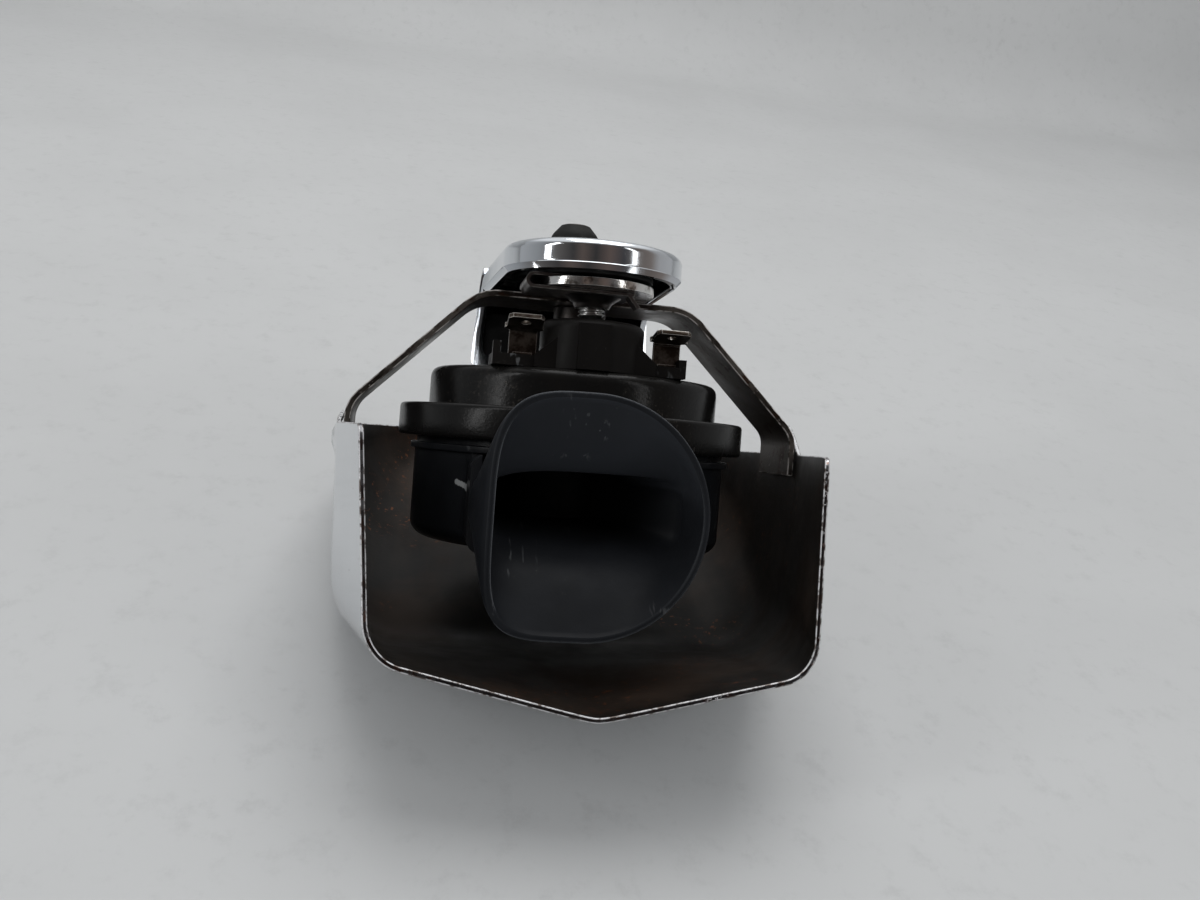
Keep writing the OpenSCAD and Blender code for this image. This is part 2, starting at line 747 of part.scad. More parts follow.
module terminal_block() {
    color("black") difference() {
        union() {
            translate([0, boss_y, 0]) {
                post(boss_r, block_low, boss_top - 2);
                translate([0, 0, boss_top - 2]) rotate_extrude() {
                    square([boss_r - 1.6, 2]);
                    intersection() {
                        translate([boss_r - 1.6, 0.4]) circle(r = 1.6);
                        square([boss_r, 3]);
                    }
                    square([boss_r, 0.4]);
                }
            }
            for (s = seats) terminal_base(s[0], s[1], s[2]);
            // The flat pad moulded on the front of the boss
            translate([-3.9, boss_y - boss_r - 0.6, block_low])
                cube([5.8, 4, boss_top - 1 - block_low]);
            // Sloping ribs that stiffen the boss
            for (s = [-1, 1]) upright(boss_y - 6.4, boss_y - 5)
                polygon([[s * 4, block_low], [s * 11, block_low], [s * 11, block_base_top + 0.2],
                    [s * (boss_r - 2.6), boss_top - 3.4], [s * 4, boss_top - 3.4]]);
        }
        translate([0, boss_y, 0]) {
            post(screw_r + hole_gap, block_low - 1, boss_top + 1);
            post(screw_head_r + hole_gap, screw_top - 2 - seat, boss_top + 1);
        }
        for (x = tab_x) {
            translate([x - tab_w / 2 - 0.1, tab_y - tab_t / 2 - 0.1, block_low + 0.6])
                cube([tab_w + 0.2, tab_t + 0.2, 20]);
            translate([x - tab_w / 2 - 0.1, tab_y - tab_t / 2 - 0.1, block_low + 0.6])
                cube([tab_w + 0.2, rivet_y + 2.6 - tab_y, tab_t + 0.2]);
            translate([x - tab_w / 2 - 0.1, rivet_y - 2.4, block_low + 0.6])
                cube([tab_w + 0.2, 6, 5]);
            translate([x, rivet_y, 0]) post(rivet_r + 0.1, block_low - 1, block_low + 1);
        }
    }
}

// Seat of one terminal, with a guard post at its outer end
module terminal_base(from, to, post_top) {
    translate([min(from, to), tab_y - 3, block_low])
        cube([abs(to - from), rivet_y + 5.6 - tab_y, block_base_top - block_low]);
    translate([to < 0 ? to : to - post_w, tab_y - 3, block_low])
        cube([post_w, 2.2, post_top - block_low]);
}

// A spade terminal: foot, riveted to the block, narrow neck and bent blade
module spade(bent) {
    foot_z = block_low + 0.7;
    r = bend_r + tab_t / 2;
    turn_z = tab_bend_z - r * tan(bent / 2);
    difference() {
        union() {
            translate([-tab_w / 2, -tab_t / 2, foot_z])
                cube([tab_w, rivet_y + 2.4 - tab_y, tab_t]);
            translate([-neck_w / 2, -tab_t / 2, foot_z]) cube([neck_w, tab_t, turn_z + 0.05 - foot_z]);
            // The lug that shows on the seat's upper side
            translate([-1.7, -tab_t / 2 - 0.6, block_base_top + 0.02]) cube([3.4, 0.7, 0.45]);
            translate([0, -r, turn_z]) rotate([90, 0, 90]) translate([0, 0, -neck_w / 2])
                bend_arc(r, bent, neck_w);
            translate([0, -r, turn_z]) rotate([bent, 0, 0]) translate([0, r, 0]) blade();
        }
        translate([0, rivet_y - tab_y, 0]) post(rivet_r, foot_z - 1, foot_z + 2);
    }
}

// The bend of a terminal, turned from y towards z
module bend_arc(r, angle, w) {
    rotate_extrude(angle = angle) translate([r - tab_t / 2, 0]) square([tab_t, w]);
}

// The blade past the bend, with a nub on each side and a hole near its end
module blade() {
    h = tab_len - (bend_r + tab_t / 2) * tan(35);
    w = tab_w / 2;
    upright(-tab_t / 2, tab_t / 2) difference() {
        polygon([[-neck_w / 2, -0.1], [neck_w / 2, -0.1], [w + 0.3, 0.3], [w + 0.3, 1],
            [w, 1.2], [w, h - 0.7], [w - 0.7, h], [0.7 - w, h], [-w, h - 0.7], [-w, 1.2],
            [-w - 0.3, 1], [-w - 0.3, 0.3]]);
        translate([0, h - 2.1]) circle(r = 0.85);
    }
}

module left_terminal() {
    color("gainsboro") translate([tab_x[0], tab_y, 0]) spade(left_bent);
}

module right_terminal() {
    color("gainsboro") translate([tab_x[1], tab_y, 0]) spade(right_bent);
}

module terminal_rivets() {
    z = block_low + 0.7 + tab_t;
    color("silver") for (x = tab_x) translate([x, rivet_y, 0]) {
        post(rivet_r - 0.05, can_top - can_t - 0.6, z + 0.1);
        post(2.1, z + 0.02, z + 0.8);
        post(2.1, can_top - can_t - 0.65, can_top - can_t - 0.05);
    }
}

// The stud that holds the horn to its strap

module mounting_stud() {
    color("dimgray") at_horn() {
        post(stud_r, can_top - 4.8, can_top + 0.2);
        post(6.4, can_top + seat, can_top + 2.6);
        post(5.2, can_top + 2.5, strap_low - seat);
        post(stud_r, strap_low - 0.2, stud_end);
    }
}

module lock_washer() {
    color("gray") at_horn() difference() {
        washer(5.2, stud_r + 0.15, washer_low, washer_low + washer_t);
        rotate([0, 0, 40]) translate([0, -0.4, washer_low - 1]) cube([8, 0.8, washer_t + 2]);
    }
}

module stud_nut() {
    color("silver") at_horn() hex_nut(nut_af, stud_r + seat, nut_low, nut_low + nut_h);
}

// The tongue plate on the strap, and the clip nut and bolt that hold the bracket to it

module tongue_plate() {
    far = horn_y + strap_w / 2 - 1;
    color("silver") difference() {
        translate([0, 0, tongue_low]) linear_extrude(tongue_t) {
            translate([0, bolt_y]) circle(r = tongue_r);
            translate([-tongue_r, bolt_y]) square([2 * tongue_r, far - bolt_y]);
        }
        at_bolt() post(bolt_r + hole_gap, tongue_low - 1, tongue_top + 1);
        at_horn() post(stud_r + hole_gap, tongue_low - 1, tongue_top + 1);
    }
}

clip_left = -tongue_r - 1.8;
clip_right = 6.8;
fold_r = (clip_top - clip_low) / 2;
barrel_r = 3.2;
barrel_low = clip_low - 2.2;
cone_r = min(5.4, clip_far - bolt_y - 0.1);

module clip_nut() {
    color("dimgray") difference() {
        union() {
            upright(clip_near, clip_far) {
                difference() {
                    translate([clip_left + fold_r, clip_low + fold_r]) circle(r = fold_r);
                    translate([clip_left + fold_r, clip_low + fold_r])
                        circle(r = fold_r - clip_t);
                    translate([clip_left + fold_r, clip_low - 1]) square([9, 9]);
                }
                translate([clip_left + fold_r, clip_low])
                    square([clip_right - clip_left - fold_r, clip_t]);
                translate([clip_left + fold_r, clip_top - clip_t])
                    square([clip_right - 3 - clip_left - fold_r, clip_t]);
            }
            // The tab that hangs from the leaf's corner
            upright(clip_near, clip_near + 3.2) translate([clip_right - 1, clip_low])
                polygon([[-0.45, 0.2], [0.4, 0.2], [2.2, -1.9], [1.6, -2.3]]);
            // The cone drawn down round the thread
            at_bolt() rotate_extrude() polygon([[0, clip_low + 0.1], [cone_r, clip_low + 0.1],
                [cone_r, clip_low], [barrel_r + 0.5, barrel_low + 1], [barrel_r, barrel_low],
                [0, barrel_low]]);
        }
        at_bolt() {
            post(bolt_r + 0.04, barrel_low - 1, clip_low + clip_t + 0.3);
            post(bolt_r + hole_gap, clip_low + clip_t + 0.1, clip_top + 1);
        }
    }
}

bolt_head_r = 5;
bolt_head_h = 1.5;

module bracket_bolt() {
    color("silver") at_bolt() difference() {
        union() {
            post(bolt_r, bolt_end, cup_top + seat + 0.2);
            translate([0, 0, cup_top + seat]) rotate_extrude()
                polygon([[0, 0], [bolt_head_r, 0], [bolt_head_r, 0.5],
                    [bolt_head_r * 0.7, bolt_head_h], [0, bolt_head_h]]);
        }
        translate([0, 0, cup_top + 0.4]) cylinder(r = 1.75, h = 5, $fn = 6);
    }
}

// The rubber bush between the tongue and the bracket's cup

cushion_r = 8.6;
sleeve_r = 4.4;
cushion_low = clip_top + seat;

module cup_cushion() {
    color("#202020") difference() {
        at_bolt() rotate_extrude() difference() {
            union() {
                translate([sleeve_r + 0.1, cushion_low])
                    square([cushion_r - sleeve_r - 0.1, cup_ceiling - seat - cushion_low]);
                translate([sleeve_r + 0.1, cushion_low]) square([11 - sleeve_r, 1.1]);
            }
            translate([cushion_r + 0.6, (cushion_low + 1 + cup_ceiling) / 2]) circle(r = 1.3);
        }
        // Room for the stud's nut beside the foot
        at_horn() post(nut_af / sqrt(3) + loose, cushion_low - 1, cup_ceiling + 1);
    }
}

module cushion_sleeve() {
    color("silver") at_bolt() washer(sleeve_r, bolt_r + 0.1, clip_top + seat, cup_ceiling - seat);
}

// The pressed bracket: a flanged tray with a round end, and a leg with a window

module tray_edge(from, r, top, low, edge_r) {
    translate([from, low]) square([r - from, top - edge_r - low]);
    translate([from, low]) square([r - edge_r - from, top - low]);
    translate([r - edge_r, top - edge_r]) circle(r = edge_r);
}

// Half of the tray's cross-section: an upright band whose lower edge leans in
module tray_wall(from) {
    turn = cup_top - cup_band;
    difference() {
        tray_edge(from, cup_r, cup_top, turn, cup_edge_r);
        tray_edge(from - 1, cup_r - cup_t, cup_ceiling, turn - 1, cup_edge_r - cup_t);
    }
    polygon([[cup_r, turn + 0.01], [cup_r - 0.8, cup_low], [cup_r - 0.8 - cup_t, cup_low],
        [cup_r - cup_t, turn + 0.01]]);
}

leg_bend = 6;
tray_far = leg_y - leg_bend;
// Angle by which the tray's sides spread towards the leg
spread = atan((leg_top_half_w - cup_r) / (leg_y - cup_y));

// One of the tray's spreading sides, from the round end to the bend
module tray_side() {
    intersection() {
        translate([0, cup_y, 0]) rotate([0, 0, -spread]) translate([0, leg_y - cup_y, 0])
            rotate([90, 0, 0]) linear_extrude(leg_y - cup_y) tray_wall(-6);
        translate([-50, 0, 0]) cube([100, tray_far, cup_top + 5]);
    }
}

// The edge of a side, which follows the bend and runs out on the leg
module side_web() {
    c = [leg_y - leg_bend, cup_top - leg_bend];
    r = leg_bend - cup_t / 2;
    intersection() {
        translate([0, cup_y, 0]) rotate([0, 0, -spread]) translate([cup_r - cup_t, 0, 0])
            cube([cup_t, 60, 60]);
        rotate([90, 0, 90]) linear_extrude(40) polygon(concat(
            [[tray_far - 0.5, cup_low], [tray_far - 0.5, c.y + r]],
            [for (a = [90 : -15 : 0]) c + r * [cos(a), sin(a)]],
            [[leg_y - cup_t / 2, cup_low - 7], [leg_y - cup_t, cup_low - 7]]));
    }
}

module leg_shape() {
    r = 2.5;
    lower = leg_half_w - r;
    polygon(concat(
        [[leg_top_half_w, cup_top + 1]],
        [for (a = [0 : -15 : -90]) [lower + r * cos(a), leg_end + r + r * sin(a)]],
        [for (a = [-90 : -15 : -180]) [-lower + r * cos(a), leg_end + r + r * sin(a)]],
        [[-leg_top_half_w, cup_top + 1]]));
}

module bracket() {
    color("silver") difference() {
        union() {
            translate([0, cup_y, 0]) rotate([0, 0, 180 + spread])
                rotate_extrude(angle = 180 - 2 * spread) tray_wall(0);
            for (side = [0, 1]) mirror([side, 0, 0]) {
                tray_side();
                side_web();
            }
            intersection() {
                rotate([90, 0, 90]) translate([0, 0, -leg_half_w])
                    linear_extrude(2 * leg_half_w) leg_profile();
                upright(tray_far - 1, leg_y + 1) difference() {
                    leg_shape();
                    rounded_rect(-window_half_w, window_low, window_half_w, window_top, 2);
                }
            }
        }
        at_bolt() post(bolt_r + 0.1, cup_ceiling - 1, cup_top + 1);
        translate([0, mount_y, 0]) post(foot_r + 0.1, cup_ceiling - 1, cup_top + 1);
    }
}

// The rubber pad that is pressed into the leg's window from behind
module window_pad() {
    color("#202020") {
        upright(leg_y - 0.7, leg_y + 0.2) rounded_rect(-window_half_w + 0.1, window_low + 0.1,
            window_half_w - 0.1, window_top - 0.1, 1.9);
        upright(leg_y + seat, leg_y + 3) rounded_rect(-window_half_w - 1.2, window_low - 1.2,
            window_half_w + 1.2, window_top + 1.2, 3);
    }
}

// Side view of the bend and the leg, as [y, z]
module leg_profile() {
    c = [leg_y - leg_bend, cup_top - leg_bend];
    difference() {
        translate(c) circle(r = leg_bend);
        translate(c) circle(r = leg_bend - cup_t);
        translate([c.x - 20, c.y - 20]) square([20, 40]);
        translate([c.x - 20, c.y - 20]) square([40, 20]);
    }
    translate([leg_y - cup_t, leg_end]) square([cup_t, c.y - leg_end]);
    translate([tray_far - 1, cup_ceiling]) square([1, cup_t]);
}

// The rubber mount on the bracket's back, with its threaded insert

foot_r = 3;
mount_low = cup_top + seat;
insert_r = 3.2;
insert_low = mount_top - mount_hole_depth - 1.2;

module at_mount() {
    translate([0, mount_y, 0]) children();
}

// Half outline of the rubber mount: a foot, a cone and a domed top round the insert
dome_r = 2.4;
dome_turn = acos((insert_r + seat - mount_top_r + dome_r) / dome_r);
mount_line = concat([[mount_r, mount_low], [mount_r, mount_low + 2],
        [mount_r - 1, mount_low + 3], [mount_top_r + 1, mount_low + 5]],
    [for (i = [0 : 6]) let (a = dome_turn * i / 6)
        [mount_top_r - dome_r, mount_top - dome_r] + dome_r * [cos(a), sin(a)]]);

module mount_rubber() {
    color("#1c1c1c") at_mount() rotate_extrude() difference() {
        polygon(concat([[0, mount_low]], mount_line, [[0, mount_top - 0.3]]));
        translate([-1, insert_low - seat]) square([insert_r + 1 + seat, 30]);
        translate([-1, mount_low - 1]) square([7, 2.2]);
    }
}

module mount_insert() {
    color("silver") at_mount() difference() {
        rotate_extrude() polygon([[0, insert_low], [insert_r, insert_low],
            [insert_r, mount_top - 0.35], [insert_r - 0.4, mount_top], [0, mount_top]]);
        post(mount_hole_r, mount_top - mount_hole_depth, mount_top + 1);
    }
}

module mount_foot_stud() {
    color("silver") at_mount() {
        post(5.8, mount_low, mount_low + 1.1);
        post(foot_r, cup_ceiling - mount_nut_h - 1.2, mount_low + 0.2);
    }
}

mount_nut_h = 2.8;

module mount_nut() {
    color("silver") at_mount() hex_nut(9, foot_r + seat, cup_ceiling - seat - mount_nut_h,
        cup_ceiling - seat);
}

laid() cover_shell();
laid() cover_strap();
laid() rear_can();
laid() crimp_ring();
laid() rear_gasket();
laid() front_gasket();
laid() diaphragm();
laid() armature();
laid() armature_washer();
laid() pole_core();
laid() coil_bobbin();
laid() coil_winding();
laid() breaker_base();
laid() fixed_contact();
laid() breaker_arm();
laid() moving_contact();
laid() adjusting_screw();
laid() sound_plate();
laid() trumpet_drum();
laid() trumpet_bell();
laid() terminal_block();
laid() left_terminal();
laid() right_terminal();
laid() terminal_rivets();
laid() mounting_stud();
laid() lock_washer();
laid() stud_nut();
laid() tongue_plate();
laid() clip_nut();
laid() bracket_bolt();
laid() cup_cushion();
laid() cushion_sleeve();
laid() bracket();
laid() window_pad();
laid() mount_rubber();
laid() mount_insert();
laid() mount_foot_stud();
laid() mount_nut();
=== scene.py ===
"""Motorcycle horn: the looks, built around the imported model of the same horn.

The pieces are modelled in millimetres in the cover's own frame: x across the cover, y from its
open lip towards its closed end, z out of its open back. LAID then lays the horn on the cover's
flat face, in metres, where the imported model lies.
"""

import json
import math

import bmesh
import bpy
from mathutils import Matrix, Vector


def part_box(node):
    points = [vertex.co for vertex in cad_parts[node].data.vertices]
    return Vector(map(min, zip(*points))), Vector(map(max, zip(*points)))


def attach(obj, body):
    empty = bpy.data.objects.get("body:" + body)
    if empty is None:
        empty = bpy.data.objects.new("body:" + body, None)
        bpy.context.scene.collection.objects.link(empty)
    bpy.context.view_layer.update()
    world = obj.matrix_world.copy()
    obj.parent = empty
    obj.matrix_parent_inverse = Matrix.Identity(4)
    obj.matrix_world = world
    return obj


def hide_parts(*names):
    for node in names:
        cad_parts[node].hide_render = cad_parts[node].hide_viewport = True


bl_info = {
    "name": "Motorcycle Horn",
    "version": (1, 0, 0),
    "blender": (4, 5, 0),
    "location": "3D View > Sidebar > Horn",
    "description": "Builds the visible pieces of a motorcycle horn in its scoop cover",
    "category": "Object",
}

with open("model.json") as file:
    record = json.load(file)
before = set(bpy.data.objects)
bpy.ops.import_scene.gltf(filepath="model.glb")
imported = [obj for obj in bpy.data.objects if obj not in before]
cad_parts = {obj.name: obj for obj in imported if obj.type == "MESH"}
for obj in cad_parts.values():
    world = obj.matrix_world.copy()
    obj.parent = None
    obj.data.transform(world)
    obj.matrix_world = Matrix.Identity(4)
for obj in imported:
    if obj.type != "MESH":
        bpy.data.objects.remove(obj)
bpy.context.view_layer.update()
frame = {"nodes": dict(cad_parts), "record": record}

MM = 0.001
REST_TILT = math.radians(28)
MOUNT = Vector((0, 52.6, 45.4))
LAID = (
    Matrix.Scale(MM, 4)
    @ Matrix.Rotation(-REST_TILT, 4, "X")
    @ Matrix.Translation(-MOUNT)
)
ALONG = Vector((0, math.cos(REST_TILT), -math.sin(REST_TILT)))  # the cover's length, laid
HORN, BOLT = (0, 38), (0, 23)  # the upright axes of the horn and of the bracket's bolt


# ---- Sizes and colours that a user may change ----


def size(name, description, default):
    """A length in metres for the sidebar."""
    return bpy.props.FloatProperty(
        name=name, description=description, default=default,
        min=0.0, max=0.2, precision=4, unit="LENGTH",
    )


def tint(name, description, default):
    """A colour for the sidebar."""
    return bpy.props.FloatVectorProperty(
        name=name, description=description, default=default,
        subtype="COLOR", size=3, min=0.0, max=1.0,
    )


class CoverSizes(bpy.types.PropertyGroup):
    """Sizes of the scoop cover and its strap"""

    sheet: size("Sheet", "Thickness of the cover's sheet", 0.0009)
    lip_half_width: size("Lip Half Width", "Half width across the lip", 0.040)
    lip_depth: size("Lip Depth", "Depth of the lip down to its ridge", 0.0438)
    flare_half_width: size("Flare Half Width", "Half width where the flare ends", 0.0452)
    widest: size("Widest Half Width", "Half width at the widest place", 0.0466)
    length: size("Length", "Length along the back edge", 0.110)
    ear_height: size("Ear Height", "Height of the right ear, beside the strap's foot", 0.006)
    left_ear: size("Left Ear", "Height of the left ear, which is curled over", 0.0024)
    strap_width: size("Strap Width", "Width of the strap along the cover", 0.018)
    strap_sheet: size("Strap Sheet", "Thickness of the strap", 0.0012)


class HornSizes(bpy.types.PropertyGroup):
    """Sizes of the horn's can, ring and trumpet"""

    can_radius: size("Can Radius", "Radius of the rear can", 0.0285)
    ring_radius: size("Ring Radius", "Radius of the crimped ring", 0.034)
    mouth_radius: size("Mouth Radius", "Radius of the trumpet's mouth", 0.0202)
    mouth_drop: size("Mouth Drop", "From the mouth's middle to its lowest point", 0.0207)
    bell_wall: size("Bell Wall", "Wall of the trumpet's bell", 0.0011)


class FinishColours(bpy.types.PropertyGroup):
    """Colours of the horn's finishes"""

    plating: tint("Plating", "Chrome plating", (0.665, 0.69, 0.72))
    inside: tint("Cover Inside", "Dull plating inside the cover", (0.012, 0.0095, 0.0078))
    rust: tint("Rust", "Light rust", (0.12, 0.045, 0.02))
    paint: tint("Paint", "Satin black paint of the can", (0.0045, 0.0044, 0.0045))
    moulding: tint("Moulding", "Blue-black plastic of the trumpet", (0.0095, 0.0103, 0.0120))
    zinc: tint("Zinc", "Zinc plating", (0.55, 0.55, 0.54))
    rubber: tint("Rubber", "Rubber of the mounts", (0.011, 0.011, 0.0112))
    table: tint("Table", "Pale table and backdrop", (0.555, 0.560, 0.560))


# ---- Material patterns ----


class Nodes:
    """Shader nodes that are put together in one tree."""

    def __init__(self, tree):
        self.tree = tree

    def node(self, kind, inputs=None, **settings):
        """A new node with its settings, and with what feeds its sockets."""
        made = self.tree.nodes.new("ShaderNode" + kind)
        for key, value in settings.items():
            setattr(made, key, value)
        for key, value in (inputs or {}).items():
            self.feed(made.inputs[key], value)
        return made

    def feed(self, socket, value):
        """Link a socket to another, or set it to a value."""
        if isinstance(value, bpy.types.NodeSocket):
            self.tree.links.new(value, socket)
        elif socket.type == "RGBA" and len(value) == 3:
            socket.default_value = (*value, 1)
        else:
            socket.default_value = value

    def math(self, how, *values, clamp=False):
        """The result of a mathematical operation on some values."""
        made = self.node("Math", dict(enumerate(values)), operation=how, use_clamp=clamp)
        return made.outputs["Value"]

    def fade(self, value, low, high, start=0.0, end=1.0):
        """Map low..high of a value smoothly to start..end."""
        inputs = dict(enumerate((value, low, high, start, end)))
        return self.node("MapRange", inputs, interpolation_type="SMOOTHSTEP").outputs["Result"]

    def mix(self, amount, a, b):
        """Colour a where the amount is 0, and b where it is 1."""
        return self.node("Mix", {0: amount, 6: a, 7: b}, data_type="RGBA").outputs[2]


class Finish(Nodes):
    """A material that is put together from patterns in the object's own coordinates."""

    def __init__(self, name, **sockets):
        self.material = bpy.data.materials.new(name)
        self.material.use_nodes = True
        super().__init__(self.material.node_tree)
        self.shader = self.tree.nodes["Principled BSDF"]
        self.place = self.node("TexCoord").outputs["Object"]
        for socket, value in sockets.items():
            self.set(socket.replace("_", " "), value)

    def set(self, socket, value):
        """Feed one of the shader's own sockets."""
        self.feed(self.shader.inputs[socket], value)

    def noise(self, scale, detail, rough=0.55, stretch=None):
        """Soft noise; scale is about the number of its blotches in a metre, and stretch
        multiplies it along each axis."""
        place = self.place
        if stretch:
            place = self.node("Mapping", {"Vector": place, "Scale": stretch}).outputs["Vector"]
        inputs = {"Vector": place, "Scale": scale, "Detail": detail, "Roughness": rough}
        return self.node("TexNoise", inputs).outputs["Fac"]

    def cells(self, scale):
        """Distance to the nearest of scattered points."""
        return self.node("TexVoronoi", {"Vector": self.place, "Scale": scale}).outputs["Distance"]

    def patches(self, low, high, *noise):
        """Blotches of noise: 0 where it is under low, 1 where it is over high."""
        return self.fade(self.noise(*noise), low, high)

    def sum(self, a, b, how="ADD"):
        """Two values put together and kept within 0 to 1."""
        return self.math(how, a, b, clamp=True)

    def both(self, a, b):
        """1 only where both values are."""
        return self.sum(a, b, "MULTIPLY")

    def measure(self, how, a, b):
        """A number from two vectors."""
        return self.node("VectorMath", {0: a, 1: b}, operation=how).outputs["Value"]

    def along(self):
        """Distance along the cover from the rubber mount's axis, less than 0 towards the lip."""
        return self.measure("DOT_PRODUCT", self.place, ALONG)

    def upward(self):
        """1 where the surface faces up from the table, -1 where it faces down."""
        normal = self.node("NewGeometry").outputs["Normal"]
        return self.node("SeparateXYZ", {0: normal}).outputs["Z"]

    def edge(self, radius):
        """1 on sharp edges, 0 on flat faces; radius is how far a face looks for its edges."""
        soft = self.node("Bevel", {"Radius": radius}, samples=4).outputs["Normal"]
        turn = self.measure("DOT_PRODUCT", soft, self.node("NewGeometry").outputs["Normal"])
        return self.fade(turn, 0.99, 0.86)

    def spot(self, at, radius):
        """1 near a place, given in millimetres in the cover's own frame."""
        away = self.measure("DISTANCE", self.place, LAID @ Vector(at))
        return self.fade(away, radius * 1.15 * MM, radius * 0.85 * MM)

    def roughness(self, scale, detail, smooth, rough, low=0.3, high=0.7):
        """Vary the roughness from smooth to rough with noise between low and high."""
        self.set("Roughness", self.fade(self.noise(scale, detail), low, high, smooth, rough))

    def bump(self, scale, detail, distance, strength):
        """Raise the surface with noise, by up to a distance in metres."""
        height = self.noise(scale, detail)
        inputs = {"Strength": strength, "Distance": distance, "Height": height}
        self.set("Normal", self.node("Bump", inputs).outputs["Normal"])


MATERIALS = {}

# Colours of dirt, wear and bare metal, and of painted shade and painted highlights
PIT, DUST, PAINTED_SHADE_BLACK = (0.10, 0.07, 0.05), (0.10, 0.095, 0.085), (0.002, 0.002, 0.002)
LIP_STEEL, LIP_BARE_AND_HIGHLIGHT = (0.12, 0.12, 0.125), (0.72, 0.72, 0.73)
INSIDE_STREAK, INSIDE_BLUSH = (0.0075, 0.0065, 0.0058), (0.050, 0.033, 0.024)
STRAP_DARK, STRAP_PALE = (0.026, 0.021, 0.018), (0.115, 0.103, 0.092)
STRAP_BROWN, STRAP_BARE = (0.046, 0.025, 0.017), (0.46, 0.42, 0.39)
PAINT_WORN, PAINT_DUST = (0.0085, 0.008, 0.0075), (0.12, 0.105, 0.09)
PAINT_SETTLED, SCRATCH, PAINTED_RIM_HIGHLIGHT = (0.03, 0.028, 0.026), (0.16, 0.165, 0.17), (0.13, 0.138, 0.15)
STEEL_BARE, BLOOM = (0.50, 0.48, 0.46), (0.026, 0.025, 0.024)
TIN, TIN_STAIN, TIN_BARE = (0.12, 0.105, 0.09), (0.035, 0.025, 0.019), (0.72, 0.70, 0.66)

# A painted highlight along the drum's left side: pale spots, as places in the cover's own frame
DRUM_PAINTED_HIGHLIGHT = (
    (-22.9, 17.8, -9.2), (-22.5, 17.4, -9.4), (-22.1, 16.9, -9.5),
    (-21.7, 16.5, -9.7), (-21.3, 16.1, -9.9), (-21.0, 15.9, -10.3),
)
HIGHLIGHT_SPOT_RADIUS, PAINTED_HIGHLIGHT_COLOUR = 0.5, (0.40, 0.41, 0.41)


def chrome_finish(colours):
    """Bright plating with fine haze, a few pits and soft waves in the sheet."""
    f = Finish("chrome", Metallic=1.0)
    rough = f.fade(f.noise(90, 4), 0.35, 0.75, 0.05, 0.16)
    pits = f.fade(f.cells(420), 0.10, 0.05)
    pits = f.both(pits, f.patches(0.52, 0.60, 60, 2))
    f.set("Base Color", f.mix(pits, colours.plating, PIT))
    f.set("Roughness", f.sum(rough, f.both(pits, 0.4)))
    f.bump(38, 1, 0.0012, 0.12)
    return f.material


def lip_finish(colours):
    """The cut edge of the sheet: a narrow dark mirror, with fine bare ticks along the lip, and a
    painted highlight, pale and barely metallic, along the rims of the back edges and ears.
    """
    f = Finish("chipped_edge")
    near = f.fade(f.along(), -0.0435, -0.0475)
    near = f.both(near, f.patches(0.48, 0.60, 62, 2))
    ticks = f.both(f.patches(0.56, 0.61, 1500, 3, 0.6), near)
    rusty = f.patches(0.56, 0.62, 700, 3)
    # Painted highlight: past the lip, the rims of the back edges and ears are mostly pale and
    # barely metallic
    ear = f.fade(f.along(), -0.034, -0.028)
    ear = f.both(ear, f.patches(0.62, 0.56, 900, 3))
    bare = f.sum(ticks, ear, "MAXIMUM")
    base = f.mix(f.both(rusty, 0.6), LIP_STEEL, colours.rust)
    f.set("Base Color", f.mix(bare, base, LIP_BARE_AND_HIGHLIGHT))
    f.set("Metallic", f.fade(bare, 0.0, 1.0, 1.0, 0.3))
    f.roughness(500, 3, 0.10, 0.35, low=0.4)
    return f.material


def worn_and_highlit_edge(name, dark, bright, low, high, scale=340):
    """A narrow edge worn bare in places, where it is pale whatever it mirrors: partly real wear,
    partly a painted highlight line.
    """
    f = Finish(name, Roughness=0.3)
    bare = f.patches(low, high, scale, 4, 0.65)
    f.set("Base Color", f.mix(bare, dark, bright))
    f.set("Metallic", f.fade(bare, 0.0, 1.0, 0.8, 0.25))
    return f.material


def inside_finish(colours):
    """Dull, hazed plating inside the cover, with a blush of light rust."""
    f = Finish("cover_inside", Metallic=0.4, Specular_IOR_Level=0.14)
    blush = f.patches(0.46, 0.66, 28, 4, 0.6)
    specks = f.patches(0.58, 0.70, 700, 3, 0.7)
    specks = f.both(specks, f.patches(0.50, 0.62, 40, 2))
    streaks = f.patches(0.40, 0.65, 160, 3, 0.6, (1, 0.18, 1))
    base = f.mix(streaks, colours.inside, INSIDE_STREAK)
    base = f.mix(f.both(blush, 0.6), base, INSIDE_BLUSH)
    f.set("Base Color", f.mix(specks, base, colours.rust))
    f.roughness(55, 4, 0.34, 0.54, low=0.35)
    f.bump(900, 3, 0.0001, 0.25)
    return f.material


def strap_finish():
    """Worn dark plating on the strap, brown in places, with bare marks; its rounded edges get
    their own finish, partly bare wear and partly painted highlight lines.
    """
    f = Finish("strap_steel", Specular_IOR_Level=0.3)
    worn = f.noise(110, 5, 0.65, (1, 0.5, 1))
    base = f.mix(f.fade(worn, 0.38, 0.62), STRAP_DARK, STRAP_PALE)
    base = f.mix(f.patches(0.52, 0.62, 240, 5, 0.7), base, STRAP_BROWN)
    bare = f.patches(0.64, 0.70, 1300, 4, 0.7)
    base = f.mix(f.both(bare, 0.7), base, STRAP_BARE)
    f.set("Base Color", base)
    f.set("Metallic", f.fade(bare, 0.0, 1.0, 0.8, 0.2))
    f.set("Roughness", f.fade(worn, 0.3, 0.7, 0.28, 0.55))
    f.bump(1400, 3, 0.00008, 0.4)
    return f.material


